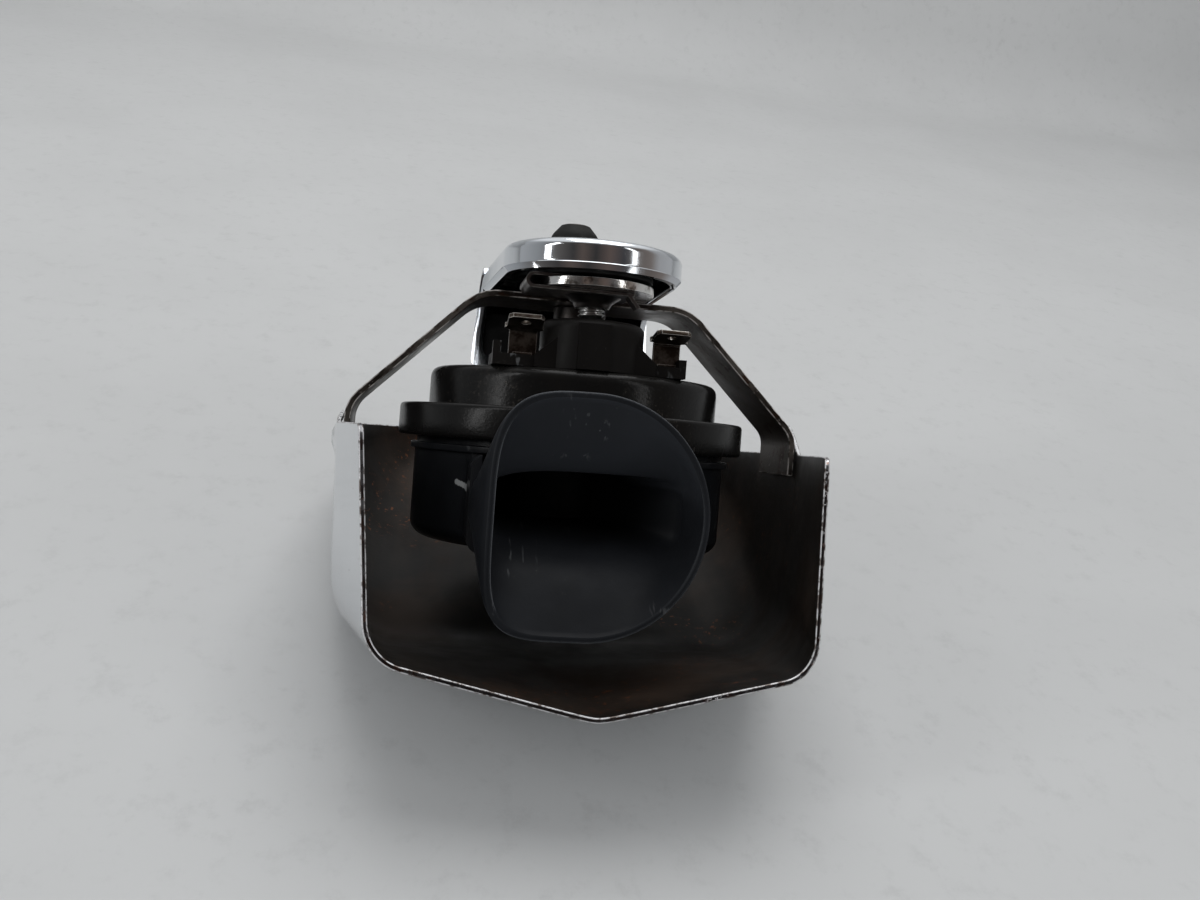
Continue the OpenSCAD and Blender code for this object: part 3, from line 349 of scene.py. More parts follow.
def paint_finish(colours):
    """Satin black paint with dust, a few scuffs and dull streaks."""
    f = Finish("black_paint", Specular_IOR_Level=0.15)
    dust = f.patches(0.55, 0.72, 1300, 4, 0.7)
    dust = f.both(dust, f.patches(0.48, 0.68, 70, 3, 0.6, (1, 1, 0.3)))
    settled = f.both(f.fade(f.upward(), 0.5, 1.0, 0.0, 0.35), f.noise(200, 4))
    base = f.mix(f.noise(120, 3), colours.paint, PAINT_WORN)
    base = f.mix(f.both(dust, 0.45), base, PAINT_DUST)
    f.set("Base Color", f.mix(settled, base, PAINT_SETTLED))
    f.roughness(85, 4, 0.17, 0.30)
    f.bump(1800, 2, 0.00006, 0.4)
    return f.material


def moulding_finish(
    colours, name="black_plastic", rough=(0.27, 0.42), dusty=0.35,
    tone=None, painted_shade_span=None, shine=0.3, painted_highlight_spots=(),
):
    """Moulded plastic, satin, with hairline scratches and faint dust. The two distances along
    the cover, when given, say where it turns black: painted shade deep in the bell. It then
    also has a painted highlight on its rim, and what faces down is paler: painted bounce light."""
    f = Finish(name, Specular_IOR_Level=shine)
    tone = tone or colours.moulding
    scratches = f.patches(0.62, 0.70, 900, 2, 0.5, (1, 0.06, 0.5))
    scratches = f.both(scratches, f.patches(0.5, 0.62, 60, 2))
    dust = f.patches(0.62, 0.75, 1500, 4, 0.75)
    dust = f.both(dust, f.patches(0.46, 0.66, 75, 3))
    base = f.mix(f.patches(0.35, 0.65, 50, 4), tone, tuple(c * 1.5 for c in tone))
    if painted_shade_span:
        # Painted bounce light: what faces down, such as the bell's inner roof, is paler
        base = f.mix(f.fade(f.upward(), 0.10, -0.30), base, tuple(c * 3 for c in tone))
    base = f.mix(f.both(dust, dusty), base, DUST)
    base = f.mix(f.both(scratches, 0.5), base, SCRATCH)
    if painted_shade_span:
        # Painted shade: deep inside, towards the drum, the bell turns black and loses almost all
        # its specular
        deep = f.fade(f.along(), *painted_shade_span)
        base = f.mix(deep, base, PAINTED_SHADE_BLACK)
        # Painted highlight: a pale line on the sharp edges of the bell's mouth rim
        rim = f.both(f.edge(0.0005), f.fade(f.along(), -0.0545, -0.0560))
        base = f.mix(rim, base, PAINTED_RIM_HIGHLIGHT)
        f.set("Specular IOR Level", f.fade(deep, 0.0, 1.0, shine, 0.02))
    # Painted highlight: pale spots at the given places
    for place in painted_highlight_spots:
        base = f.mix(f.spot(place, HIGHLIGHT_SPOT_RADIUS), base, PAINTED_HIGHLIGHT_COLOUR)
    f.set("Base Color", base)
    f.roughness(95, 4, *rough)
    f.bump(2200, 2, 0.00004, 0.35)
    return f.material


def metal_finish(
    name, colour, rough=(0.25, 0.42), stain=(0.12, 0.10, 0.08), stained=0.5, bare=0.0
):
    """Plated steel, slightly dulled, with darker stains in places and edges worn bare."""
    f = Finish(name, Metallic=1.0)
    stains = f.patches(0.50, 0.66, 420, 5, 0.7)
    base = f.mix(f.both(stains, stained), colour, stain)
    if bare:
        worn = f.both(f.edge(0.0003), f.patches(0.36, 0.56, 500, 4))
        base = f.mix(f.both(worn, bare), base, STEEL_BARE)
        f.set("Metallic", f.fade(worn, 0.0, 1.0, 1.0, 0.5))
    f.set("Base Color", base)
    f.roughness(260, 4, *rough)
    f.bump(2600, 2, 0.00004, 0.5)
    return f.material


def terminal_finish():
    """Tinned brass that has gone dull and brown, bare along its edges."""
    f = Finish("terminal_tin", Metallic=1.0)
    stains = f.patches(0.36, 0.60, 380, 5, 0.7)
    base = f.mix(stains, TIN, TIN_STAIN)
    f.set("Base Color", f.mix(f.edge(0.00022), base, TIN_BARE))
    f.roughness(260, 4, 0.3, 0.5)
    f.bump(2600, 2, 0.00004, 0.5)
    return f.material


def rubber_finish(colours):
    """Matte rubber with a soft bloom."""
    f = Finish("rubber", Specular_IOR_Level=0.12)
    bloom = f.patches(0.45, 0.7, 160, 5, 0.6)
    f.set("Base Color", f.mix(bloom, colours.rubber, BLOOM))
    f.roughness(300, 3, 0.55, 0.75)
    f.bump(1500, 4, 0.00008, 0.5)
    return f.material


def plain_finish(name, colour, rough, metallic=0.0):
    """A finish for the pieces inside, with a fine grain."""
    f = Finish(name, Metallic=metallic)
    deeper = tuple(c * 0.72 for c in colour)
    f.set("Base Color", f.mix(f.patches(0.35, 0.65, 600, 4), colour, deeper))
    f.roughness(300, 3, rough, rough + 0.15)
    return f.material


def table_finish(colours):
    """The pale table: faint blotches and fine grey scratches."""
    f = Finish("table_top", Roughness=0.62, Specular_IOR_Level=0.25)
    blotch = f.patches(0.35, 0.7, 9, 5, 0.6)
    base = f.mix(blotch, colours.table, tuple(c * 0.955 for c in colours.table))
    grain = f.both(f.patches(0.50, 0.72, 140, 6, 0.75), f.noise(24, 3))
    f.set("Base Color", f.mix(grain, base, tuple(c * 0.84 for c in colours.table)))
    f.bump(260, 4, 0.0004, 0.12)
    return f.material


def make_materials(colours):
    """All finishes, by the name of the record's material slot or of their use."""
    MATERIALS.update(
        chrome=chrome_finish(colours),
        lip=lip_finish(colours),
        # The cover's bevelled edges: pale patches, partly bare wear and partly painted highlight
        # lines
        lip_line=worn_and_highlit_edge("lip_line", (0.12, 0.10, 0.09), (0.56, 0.56, 0.57), 0.40, 0.56, 620),
        inside=inside_finish(colours),
        # The strap's rounded edges: pale patches, partly bare wear and partly painted highlight
        # lines
        strap_edge=worn_and_highlit_edge("strap_edge", (0.07, 0.06, 0.05), (0.50, 0.47, 0.45), 0.42, 0.58),
        strap_steel=strap_finish(),
        black_paint=paint_finish(colours),
        black_plastic=moulding_finish(colours, painted_highlight_spots=DRUM_PAINTED_HIGHLIGHT),
        # The trumpet's bell: painted shade deep inside, a painted rim highlight and painted
        # bounce light
        trumpet_plastic=moulding_finish(
            colours, "trumpet_plastic", (0.30, 0.46), 0.5, painted_shade_span=(-0.0480, -0.0370), shine=0.06
        ),
        # Painted shade: the duct inside the drum is near black and rough
        duct_plastic=plain_finish("duct_plastic", (0.004, 0.004, 0.005), 0.7),
        block_plastic=moulding_finish(
            colours, "block_plastic", (0.38, 0.55), 0.8, tone=(0.0060, 0.0053, 0.0048), shine=0.10
        ),
        zinc=metal_finish("zinc", colours.zinc),
        tongue_plating=metal_finish(
            "tongue_plating", (0.72, 0.71, 0.69), (0.08, 0.20), (0.11, 0.08, 0.06), 0.9
        ),
        dark_steel=metal_finish(
            "dark_steel", (0.11, 0.10, 0.095), (0.30, 0.48), (0.05, 0.04, 0.034), bare=0.7
        ),
        terminal_tin=terminal_finish(),
        rubber=rubber_finish(colours),
        paper=plain_finish("gasket_fibre", (0.35, 0.22, 0.12), 0.8),
        copper=plain_finish("enamelled_copper", (0.60, 0.25, 0.11), 0.25, 1.0),
        core_steel=plain_finish("core_steel", (0.40, 0.40, 0.41), 0.3, 1.0),
        bobbin=plain_finish("bobbin_nylon", (0.70, 0.66, 0.54), 0.45),
        contact=plain_finish("contact_metal", (0.68, 0.68, 0.69), 0.2, 1.0),
        table=table_finish(colours),
    )


# ---- Modelling helpers ----


def fillet(points, radii, steps):
    """A polyline with its corners rounded, with one radius for each corner."""
    last = len(points) - 1
    made = []
    for i, point in enumerate(points):
        corner = Vector(point)
        if i in (0, last) or radii[i] <= 0:
            made.append(corner)
            continue
        back = Vector(points[i - 1]) - corner
        ahead = Vector(points[i + 1]) - corner
        half = back.angle(ahead) / 2
        reach = min(radii[i] / math.tan(half), 0.499 * back.length, 0.499 * ahead.length)
        start, end = corner + back.normalized() * reach, corner + ahead.normalized() * reach
        for k in range(steps + 1):
            t = k / steps
            made.append(start.lerp(corner, t).lerp(corner.lerp(end, t), t))
    return [tuple(p) for p in made]


def outward(bm):
    """Make all faces point outwards."""
    bmesh.ops.recalc_face_normals(bm, faces=bm.faces)


def weld(bm, distance):
    """Merge points that lie within a distance of each other."""
    bmesh.ops.remove_doubles(bm, verts=bm.verts, dist=distance)


def merge_flat(bm, limit):
    """Dissolve the edges at which faces turn by less than a limit."""
    flat = [e for e in bm.edges if len(e.link_faces) == 2 and e.calc_face_angle(0) < limit]
    bmesh.ops.dissolve_edges(bm, edges=flat, use_verts=False)


def chain(bm, points):
    """Points in a row, and the edges that join them."""
    verts = [bm.verts.new(point) for point in points]
    return verts, [bm.edges.new(pair) for pair in zip(verts, verts[1:])]


def lathe(points, centre, steps, closed=False):
    """A shape turned about an upright axis from (radius, height) points."""
    bm = bmesh.new()
    verts, edges = chain(bm, [(r, 0, z) for r, z in points])
    if closed:
        edges.append(bm.edges.new((verts[-1], verts[0])))
    bmesh.ops.spin(
        bm, geom=verts + edges, cent=(0, 0, 0), axis=(0, 0, 1),
        angle=math.tau, steps=steps, use_merge=True,
    )
    weld(bm, 1e-4)
    outward(bm)
    bmesh.ops.translate(bm, verts=bm.verts, vec=(*centre, 0))
    return bm


THREAD_DEPTH, THREAD_STEPS = 0.61, 36  # the depth is a share of the pitch


def thread(radius, pitch, low, high, centre):
    """A screw thread: one tooth's outline wound up round its axis, with plain end caps."""
    bm = bmesh.new()
    root = radius - THREAD_DEPTH * pitch
    tooth = ((root, 0), (radius, 0.36), (radius, 0.50), (root, 0.86), (root, 1))
    turns = max(1, round((high - low) / pitch) - 1)
    verts, edges = chain(bm, [(r, 0, share * pitch) for r, share in tooth])
    bmesh.ops.spin(
        bm, geom=verts + edges, cent=(0, 0, 0), axis=(0, 0, 1),
        dvec=(0, 0, pitch / THREAD_STEPS), angle=math.tau * turns, steps=THREAD_STEPS * turns,
    )
    weld(bm, 1e-3)
    for v in bm.verts:
        v.co.z = min(max(v.co.z + low, low), high)
    weld(bm, 1e-3)
    bmesh.ops.holes_fill(bm, edges=[e for e in bm.edges if e.is_boundary])
    outward(bm)
    if bm.calc_volume(signed=True) < 0:
        bmesh.ops.reverse_faces(bm, faces=bm.faces)
    bmesh.ops.translate(bm, verts=bm.verts, vec=(*centre, 0))
    return bm


def prism(outline, low, high, holes=(), turn=None):
    """A flat outline, with holes, given a thickness; turn then moves it into place."""
    bm = bmesh.new()
    edges = []
    for loop in (outline, *holes):
        verts = [bm.verts.new((x, y, low)) for x, y in loop]
        edges += [bm.edges.new((verts[i - 1], verts[i])) for i in range(len(verts))]
    bmesh.ops.triangle_fill(bm, use_beauty=True, edges=edges)
    grown = bmesh.ops.extrude_face_region(bm, geom=bm.faces[:])["geom"]
    top = [v for v in grown if isinstance(v, bmesh.types.BMVert)]
    bmesh.ops.translate(bm, verts=top, vec=(0, 0, high - low))
    outward(bm)
    merge_flat(bm, 1e-4)
    if turn:
        bmesh.ops.transform(bm, matrix=turn, verts=bm.verts)
        outward(bm)
    return bm


def soften(bm, width, degrees, material=-1):
    """Round every edge that turns by more than some degrees; material is the index that the
    rounded edges get, or -1 for their neighbours' own."""
    sharp = [
        e for e in bm.edges
        if e.is_manifold and e.calc_face_angle(0) > math.radians(degrees)
    ]
    bmesh.ops.bevel(
        bm, geom=sharp, offset=width, offset_type="OFFSET", segments=2,
        profile=0.5, affect="EDGES", clamp_overlap=True, material=material,
    )
    return bm


def circle(centre, radius, steps):
    """Points round a circle."""
    turns = [math.tau * k / steps for k in range(steps)]
    return [(centre[0] + radius * math.cos(a), centre[1] + radius * math.sin(a)) for a in turns]


def joined(*parts):
    """Several shapes as one."""
    whole = bmesh.new()
    for part in parts:
        mesh = bpy.data.meshes.new("part")
        part.to_mesh(mesh)
        part.free()
        whole.from_mesh(mesh)
        bpy.data.meshes.remove(mesh)
    return whole


def draped(columns, rows, shape):
    """A grid whose points are carried to shape(u, v), with u and v from 0 to 1."""
    bm = bmesh.new()
    bmesh.ops.create_grid(bm, x_segments=columns, y_segments=rows, size=0.5)
    for v in bm.verts:
        v.co = shape(v.co.x + 0.5, v.co.y + 0.5)
    return bm


# The body and the material slot of each CAD node, from the record
BODY_OF = {n: b for b, nodes in frame["record"]["behaviour"]["bodies"].items() for n in nodes}
SLOT_OF = {s["node"]: s["material_slot"] for s in frame["record"]["subparts"]}
RANK_STEP = 1e5  # more than the points of any piece


def linked(name, data):
    """A new object of the scene."""
    obj = bpy.data.objects.new(name, data)
    bpy.context.scene.collection.objects.link(obj)
    return obj


def rank(part):
    """A number that sorts edges or faces by the first of their points."""
    number = 0
    for index in sorted(v.index for v in part.verts)[:3]:
        number = number * RANK_STEP + index
    return number


def placed(name, bm):
    """A shape as an object of the scene, shaded smoothly. Its edges and faces are sorted,
    because spinning and cutting leave them in another order at each run."""
    bm.verts.index_update()
    for parts in (bm.edges, bm.faces):
        parts.sort(key=rank)
    mesh = bpy.data.meshes.new(name)
    bm.to_mesh(mesh)
    bm.free()
    mesh.polygons.foreach_set("use_smooth", [True] * len(mesh.polygons))
    return linked(name, mesh)


def piece(name, bm, nodes, materials=None, smooth=35, laid=True):
    """Make the object of a piece, and let it replace CAD nodes and ride with their body."""
    if laid:
        bmesh.ops.transform(bm, matrix=LAID, verts=bm.verts)
    obj = placed(name, bm)
    mesh = obj.data
    mesh.set_sharp_from_angle(angle=math.radians(smooth))
    for material in materials or [SLOT_OF[nodes[0]]]:
        mesh.materials.append(MATERIALS[material])
    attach(obj, BODY_OF[nodes[0]])
    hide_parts(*nodes)
    return obj


def refined(node, width, material=None, degrees=35, cuts=()):
    """A CAD node's own shape, welded, with its sharp edges rounded; cuts are heights at which
    its faces are split, so that what is between them shades as the plain wall it is."""
    bm = bmesh.new()
    bm.from_mesh(frame["nodes"][node].data)
    weld(bm, 2e-6)
    merge_flat(bm, math.radians(0.05))
    soften(bm, width * MM, degrees)
    for height in cuts:
        bmesh.ops.bisect_plane(
            bm, geom=bm.verts[:] + bm.edges[:] + bm.faces[:], dist=1e-7,
            plane_co=LAID @ Vector((0, 0, height)), plane_no=LAID.to_3x3() @ Vector((0, 0, 1)),
        )
    materials = [material] if material else None
    obj = piece(node + "_detail", bm, [node], materials, laid=False)
    return obj if cuts else flat_faced(obj)


def flat_faced(obj):
    """Let flat faces mirror flatly between their rounded edges."""
    shading = obj.modifiers.new("flat_faces", "WEIGHTED_NORMAL")
    shading.keep_sharp = True
    return obj


def keep_node(node):
    """A CAD node that stays as it is gets its finish."""
    data = frame["nodes"][node].data
    data.materials.clear()
    data.materials.append(MATERIALS[SLOT_OF[node]])


def between(a, b, t):
    """From a, where t is 0, to b, where it is 1."""
    return a + (b - a) * t


# ---- The cover's sheet: sizes in millimetres ----

COLUMNS, ROWS = 100, 130
LIP_VEE, LIP_RAKE = math.radians(12.4), math.radians(16.8)
FLARE_END, FACE_START, WIDEST_AT, FACE_END = 28, 40, 60, 84
# Shares of the rows, from the lip, and how far along the cover they reach
ROW_MARKS = ((0.0, 0), (0.28, FLARE_END), (0.40, FACE_START), (0.70, FACE_END))
CLOSED_END = 0.994  # the last row stops just before the closed end's middle, which gets a face
LIP_CROWDING, RIDGE_CROWDING = 1.15, 1.3  # points lie closer together towards lip and ridge
CLOSING_POWER = 2.4  # how square the closed end is
FACE_DEPTH, FACE_BEND, RIDGE_R = 42.6, 5, 1.5
DRAFT, LIP_DRAFT = 0.02, 0.08
FLOOR_CORNER, LIP_CORNER = 15, 8
FLOOR_SHARE, BEND_SHARE = 0.4, 0.72  # of each half: the floor, then the corner, then the wall
LIP_END_R, LIP_ROUND = 1.6, 0.22
# The ears' half length and how pointed they are; how far the left one curls, and from how far
# below the edge
EAR_HALF, EAR_POWER, EAR_CURL, EAR_CURL_LOW = 9.9, 1.3, 1.0, 6


def cover_point(sizes, u, v):
    """A point of the cover's outer skin: u across, v from the lip to the closed end."""
    length, closing = sizes.length / MM, ROW_MARKS[-1][0]
    if v >= closing:
        around = math.sin(math.pi / 2 * (v - closing) / (1 - closing))
        y = FACE_END + (length - FACE_END) * CLOSED_END * around
    else:
        for (v0, y0), (v1, y1) in zip(ROW_MARKS, ROW_MARKS[1:]):
            if v0 <= v <= v1:
                y = y0 + (y1 - y0) * ((v - v0) / (v1 - v0)) ** (1 if v0 else LIP_CROWDING)

    def ease(start):
        """1 up to start, then down to 0 at the closed end."""
        if y <= start:
            return 1.0
        gone = min(1.0, (y - start) / (length - start))
        return (1 - gone**CLOSING_POWER) ** (1 / CLOSING_POWER)

    lip, flare = sizes.lip_half_width / MM, sizes.flare_half_width / MM
    if y <= FLARE_END:
        half = lip + (flare - lip) * y / FLARE_END
    else:
        rise = min(1.0, (y - FLARE_END) / (WIDEST_AT - FLARE_END))
        half = flare + (sizes.widest / MM - flare) * math.sin(math.pi / 2 * rise)
    half *= ease(WIDEST_AT)
    gone = max(0.0, 1 - y / FACE_START)
    if y <= FACE_START:
        deep = FACE_DEPTH + (sizes.lip_depth / MM - FACE_DEPTH) * gone
    else:
        deep = FACE_DEPTH * ease(FACE_END)
    past = y - FACE_START
    bent = past if past > FACE_BEND else max(0, past + FACE_BEND) ** 2 / (4 * FACE_BEND)
    deep -= bent * math.tan(REST_TILT) * ease(FACE_END)
    slope = math.tan(LIP_VEE) * gone
    draft = DRAFT + LIP_DRAFT * gone
    corner = min(between(LIP_CORNER, FLOOR_CORNER, 1 - gone), 0.8 * deep, 0.8 * half)
    low = deep + slope * RIDGE_R
    cx = (half - draft * low) / (1 - draft * slope)
    cz = slope * cx - low
    floor, lean = math.atan(slope), math.atan(draft)
    turn = math.pi / 2 - floor - lean
    run = corner * math.tan(turn / 2)
    x1, z1 = cx - run * math.cos(floor), cz - run * math.sin(floor)
    x2, z2 = cx + run * math.sin(lean), cz + run * math.cos(lean)
    side, t = (-1 if u < 0.5 else 1), abs(u - 0.5) * 2
    if t < FLOOR_SHARE:
        x = x1 * (t / FLOOR_SHARE) ** RIDGE_CROWDING
        z = slope * math.hypot(x, RIDGE_R) - low
    elif t < BEND_SHARE:
        a = floor + turn * (t - FLOOR_SHARE) / (BEND_SHARE - FLOOR_SHARE)
        x = x1 - corner * math.sin(floor) + corner * math.sin(a)
        z = z1 + corner * math.cos(floor) - corner * math.cos(a)
    else:
        part = (t - BEND_SHARE) / (1 - BEND_SHARE)
        beside = min(1.0, abs(y - HORN[1]) / EAR_HALF)
        within = 1 - beside**EAR_POWER
        ear = (sizes.ear_height if side > 0 else sizes.left_ear) / MM * within
        if y < LIP_END_R:
            ear = math.sqrt(LIP_END_R**2 - (LIP_END_R - y) ** 2) - LIP_END_R
        x = x2 + (half + draft * ear - x2) * part
        z = z2 * (1 - part) + ear * part
        if side < 0:
            curl = min(1.4, max(0, (z + EAR_CURL_LOW) / EAR_CURL_LOW))
            x += EAR_CURL * within * math.sin(math.pi * curl)
    return Vector((side * x, y + math.tan(LIP_RAKE) * gone * z, z))


class HORN_OT_cover(bpy.types.Operator):
    """Press the chromed scoop cover from one sheet"""

    bl_idname = "horn.cover"
    bl_label = "Scoop Cover"

    def execute(self, context):
        sizes = context.scene.horn_cover
        bm = draped(COLUMNS, ROWS, lambda u, v: cover_point(sizes, u, v))
        rear = max(v.co.y for v in bm.verts)
        last = [v for v in bm.verts if v.co.y > rear - 1e-3]
        bmesh.ops.contextual_create(bm, geom=last)
        outward(bm)
        under = min(bm.faces, key=lambda f: f.calc_center_median().z)
        if under.normal.z > 0:
            bmesh.ops.reverse_faces(bm, faces=bm.faces)
        materials = ["chrome", "inside", "lip", "lip_line"]
        obj = piece("scoop_cover", bm, ["cover_shell"], materials, 60)
        wall = obj.modifiers.new("sheet", "SOLIDIFY")
        wall.thickness = sizes.sheet
        wall.offset = -1
        wall.use_even_offset = True
        wall.material_offset = materials.index("inside")
        wall.material_offset_rim = materials.index("lip")
        edge = obj.modifiers.new("edge", "BEVEL")
        edge.width, edge.segments, edge.limit_method = LIP_ROUND * MM, 2, "ANGLE"
        edge.angle_limit = math.radians(60)
        # The bevels get the pale edge finish: partly wear, partly painted highlight lines
        edge.material = materials.index("lip_line")
        edge.use_clamp_overlap = False
        flat_faced(obj)
        return {"FINISHED"}


# The strap's corners as heights over the cover's back edge, and how they are bent
STRAP_FOOT, STRAP_HEEL, STRAP_TOP, STRAP_TOP_HALF = -4.3, 4, 27.2, 20.6
STRAP_BENDS = [0, 7.6, 10.2, 10.2, 6.2, 0]


class HORN_OT_strap(bpy.types.Operator):
    """Bend the steel strap that joins the horn to its cover"""

    bl_idname = "horn.strap"
    bl_label = "Cover Strap"

    def execute(self, context):
        sizes = context.scene.horn_cover
        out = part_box("cover_strap")[1].x / MM
        thick, wide = sizes.strap_sheet / MM, sizes.strap_width / MM
        right = [(STRAP_TOP_HALF, STRAP_TOP), (out, STRAP_HEEL), (out, STRAP_FOOT)]
        outer = fillet([(-x, z) for x, z in reversed(right)] + right, STRAP_BENDS, 12)
        inner = []
        for i, point in enumerate(outer):
            a = Vector(outer[max(0, i - 1)])
            b = Vector(outer[min(len(outer) - 1, i + 1)])
            along = (b - a).normalized()
            inner.append((point[0] + along.y * thick, point[1] - along.x * thick))
        upright = Matrix.Rotation(math.pi / 2, 4, "X")
        turn = Matrix.Translation((0, HORN[1] + wide / 2, 0)) @ upright
        bm = prism(outer + inner[::-1], 0, wide, turn=turn)
        # The rounded edges get the pale edge finish: partly wear, partly painted highlight lines
        soften(bm, 0.22, 50, material=1)
        flat_faced(piece("cover_strap_band", bm, ["cover_strap"], ["strap_steel", "strap_edge"]))
        return {"FINISHED"}


# ---- The horn: outlines are (radius, height) ----

CAN_TOP, CAN_DISH, RIM_LOW, RIM_HIGH = 12.2, 0.5, -1.4, 4.8
RIM_SHEET, RIM_WALL, ROUND_STEPS = 0.85, 0.9, 128


class HORN_OT_can(bpy.types.Operator):
    """Draw the rear can with its rounded shoulder and pressed rings"""

    bl_idname = "horn.can"
    bl_label = "Rear Can and Ring"

    def execute(self, context):
        sizes = context.scene.horn_body
        r, top, low = sizes.can_radius / MM, CAN_TOP, CAN_TOP - CAN_DISH
        can = fillet(
            [(4.5, top - 1.2), (4.5, top), (9.4, top), (10.2, low), (22.6, low), (23.4, top),
             (r, top), (r, 3.7), (32.0, 3.7), (32.0, 2.8), (r - 1.4, 2.8), (r - 1.2, top - 1.2)],
            [0, 0.15, 0.5, 0.5, 0.5, 0.5, 2.2, 0.6, 0, 0, 0, 0.8],
            6,
        )
        bm = lathe(can, HORN, ROUND_STEPS, closed=True)
        piece("rear_can_drawn", bm, ["rear_can"], None, 50)
        r = sizes.ring_radius / MM
        within, high, low = r - RIM_WALL, RIM_HIGH - RIM_SHEET, RIM_LOW + RIM_SHEET
        ring = fillet(
            [(28.9, high), (28.9, RIM_HIGH), (r, RIM_HIGH), (r, RIM_LOW), (30.9, RIM_LOW),
             (30.9, low), (within, low), (within, high)],
            [0, 0.3, 0.9, 0.8, 0.3, 0, 0.4, 0.4],
            5,
        )
        bm = lathe(ring, HORN, ROUND_STEPS, closed=True)
        piece("rolled_ring", bm, ["crimp_ring"], None, 50)
        return {"FINISHED"}


# The mouth, and the spout, where the bell meets the drum: middles, sides and lengths
MOUTH_MID, MOUTH_LEFT, BELL_LENGTH = (-2, -12.5), -18.7, 10.4
SPOUT_MID, SPOUT_Y = (0, -12.275), 6.4
SPOUT_LEFT, SPOUT_RIGHT, SPOUT_UP, SPOUT_DOWN = -21.2, 17.8, -3.85, -20.7
SPOUT_WALL, THROAT, THROAT_NARROWS, THROAT_RISES = 1.85, 13.6, 14, 8.16
# Rings of points along the bell, over its rim and along the duct, and round each of them
BELL_RINGS, RIM_RINGS, DUCT_RINGS, DUCT_BACK_RINGS, BELL_STEPS = 26, 12, 14, 4, 160
DUCT_SHEET, RIM_AHEAD, RIM_POWER = 0.4, 0.22, 3.5
# Roundness of each corner, in lobe's order
MOUTH_POWERS, SPOUT_POWERS = (3.6, 4.8, 2, 2), (3, 3, 5, 5)
DRUM_WITHIN, DRUM_FLOOR = 29, -19.5  # what lies inside these in the drum is its duct


def lobe(centre, left, right, up, down, powers, turn):
    """A point of a rounded outline with its own reach to each side, and a roundness for
    its upper left, its lower left, its upper right and its lower right."""
    c, s = math.cos(turn), math.sin(turn)
    power = powers[(0 if c < 0 else 2) + (1 if s < 0 else 0)]
    x = (left if c < 0 else right) * math.copysign(abs(c) ** (2 / power), c)
    z = (down if s < 0 else up) * math.copysign(abs(s) ** (2 / power), s)
    return centre[0] + x, centre[1] + z


def bell_point(sizes, turn, f, wall, ahead):
    """A point of the bell: f goes from the mouth, 0, to the drum's spout, 1."""
    r, drop = sizes.mouth_radius / MM, sizes.mouth_drop / MM
    swell = (math.sin(math.pi / 2 * f) + f) / 2
    late = 1 - math.cos(math.pi / 2 * f)
    cx, cz = (between(a, b, f) for a, b in zip(MOUTH_MID, SPOUT_MID))
    left = between(MOUTH_LEFT, SPOUT_LEFT, math.sqrt(f))
    right = between(MOUTH_MID[0] + r, SPOUT_RIGHT, f)
    up = between(MOUTH_MID[1] + r, SPOUT_UP, swell)
    down = between(MOUTH_MID[1] - drop, SPOUT_DOWN, swell)
    powers = [between(*ends) for ends in zip(MOUTH_POWERS, SPOUT_POWERS, (f, f, late, late))]
    x, z = lobe(
        (cx, cz), cx - left - wall, right - cx - wall, up - cz - wall, cz - down - wall,
        powers, turn,
    )
    return Vector((x, SPOUT_Y + BELL_LENGTH * (f - 1) - ahead, z))


def throat_point(turn, d, wall):
    """A point of the duct's skin inside the drum: d goes from the spout, 0, inwards to 1."""
    right = SPOUT_RIGHT - THROAT_NARROWS * d
    down = SPOUT_DOWN + THROAT_RISES * (d - d * d / 2)
    cx, cz = between(SPOUT_MID[0], (SPOUT_LEFT + right) / 2, d), SPOUT_MID[1]
    x, z = lobe(
        (cx, cz), cx - SPOUT_LEFT - wall, right - cx - wall, SPOUT_UP - cz - wall,
        cz - down - wall, SPOUT_POWERS, turn,
    )
    return Vector((x, SPOUT_Y + THROAT * d, z))


class HORN_OT_trumpet(bpy.types.Operator):
    """Form the trumpet: its bell, its drum and the plate behind them"""

    bl_idname = "horn.trumpet"
    bl_label = "Snail Trumpet"

    def execute(self, context):
        sizes = context.scene.horn_body
        wall, bell = sizes.bell_wall / MM, [i / BELL_RINGS for i in range(BELL_RINGS + 1)]

        def flare(turn, f, wall, ahead=0.0):
            return bell_point(sizes, turn, f, wall, ahead)

        rings = [(flare, 1 - f, 0.0) for f in bell]
        for i in range(1, RIM_RINGS):
            across = (1 - math.cos(math.pi * i / RIM_RINGS)) / 2
            ahead = RIM_AHEAD * (1 - abs(2 * across - 1) ** RIM_POWER)
            rings.append((flare, 0.0, wall * across, ahead))
        rings += [(flare, f, between(wall, SPOUT_WALL, f)) for f in bell]
        for i in range(1, DUCT_RINGS + 1):
            rings.append((throat_point, i / DUCT_RINGS, SPOUT_WALL))
        for i in range(DUCT_BACK_RINGS, -1, -1):
            rings.append((throat_point, i / DUCT_BACK_RINGS, SPOUT_WALL - DUCT_SHEET))

        def skin(u, v):
            point, *where = rings[round(v * (len(rings) - 1))]
            return point(math.tau * u, *where)

        bm = draped(BELL_STEPS, len(rings) - 1, skin)
        weld(bm, 1e-3)
        ends = [e for e in bm.edges if e.is_boundary]
        bmesh.ops.bridge_loops(bm, edges=ends)
        outward(bm)
        piece("bell", bm, ["trumpet_bell"], ["trumpet_plastic"], 50)
        drum = refined("trumpet_drum", 0.25, degrees=50)
        # Painted shade: the duct's faces inside the drum get the near-black, rough finish
        drum.data.materials.append(MATERIALS["duct_plastic"])
        back = LAID.inverted()
        for face in drum.data.polygons:
            x, y, z = back @ face.center
            if math.hypot(x, y - HORN[1]) < DRUM_WITHIN and z > DRUM_FLOOR:
                face.material_index = 1
        refined("sound_plate", 0.15)
        return {"FINISHED"}


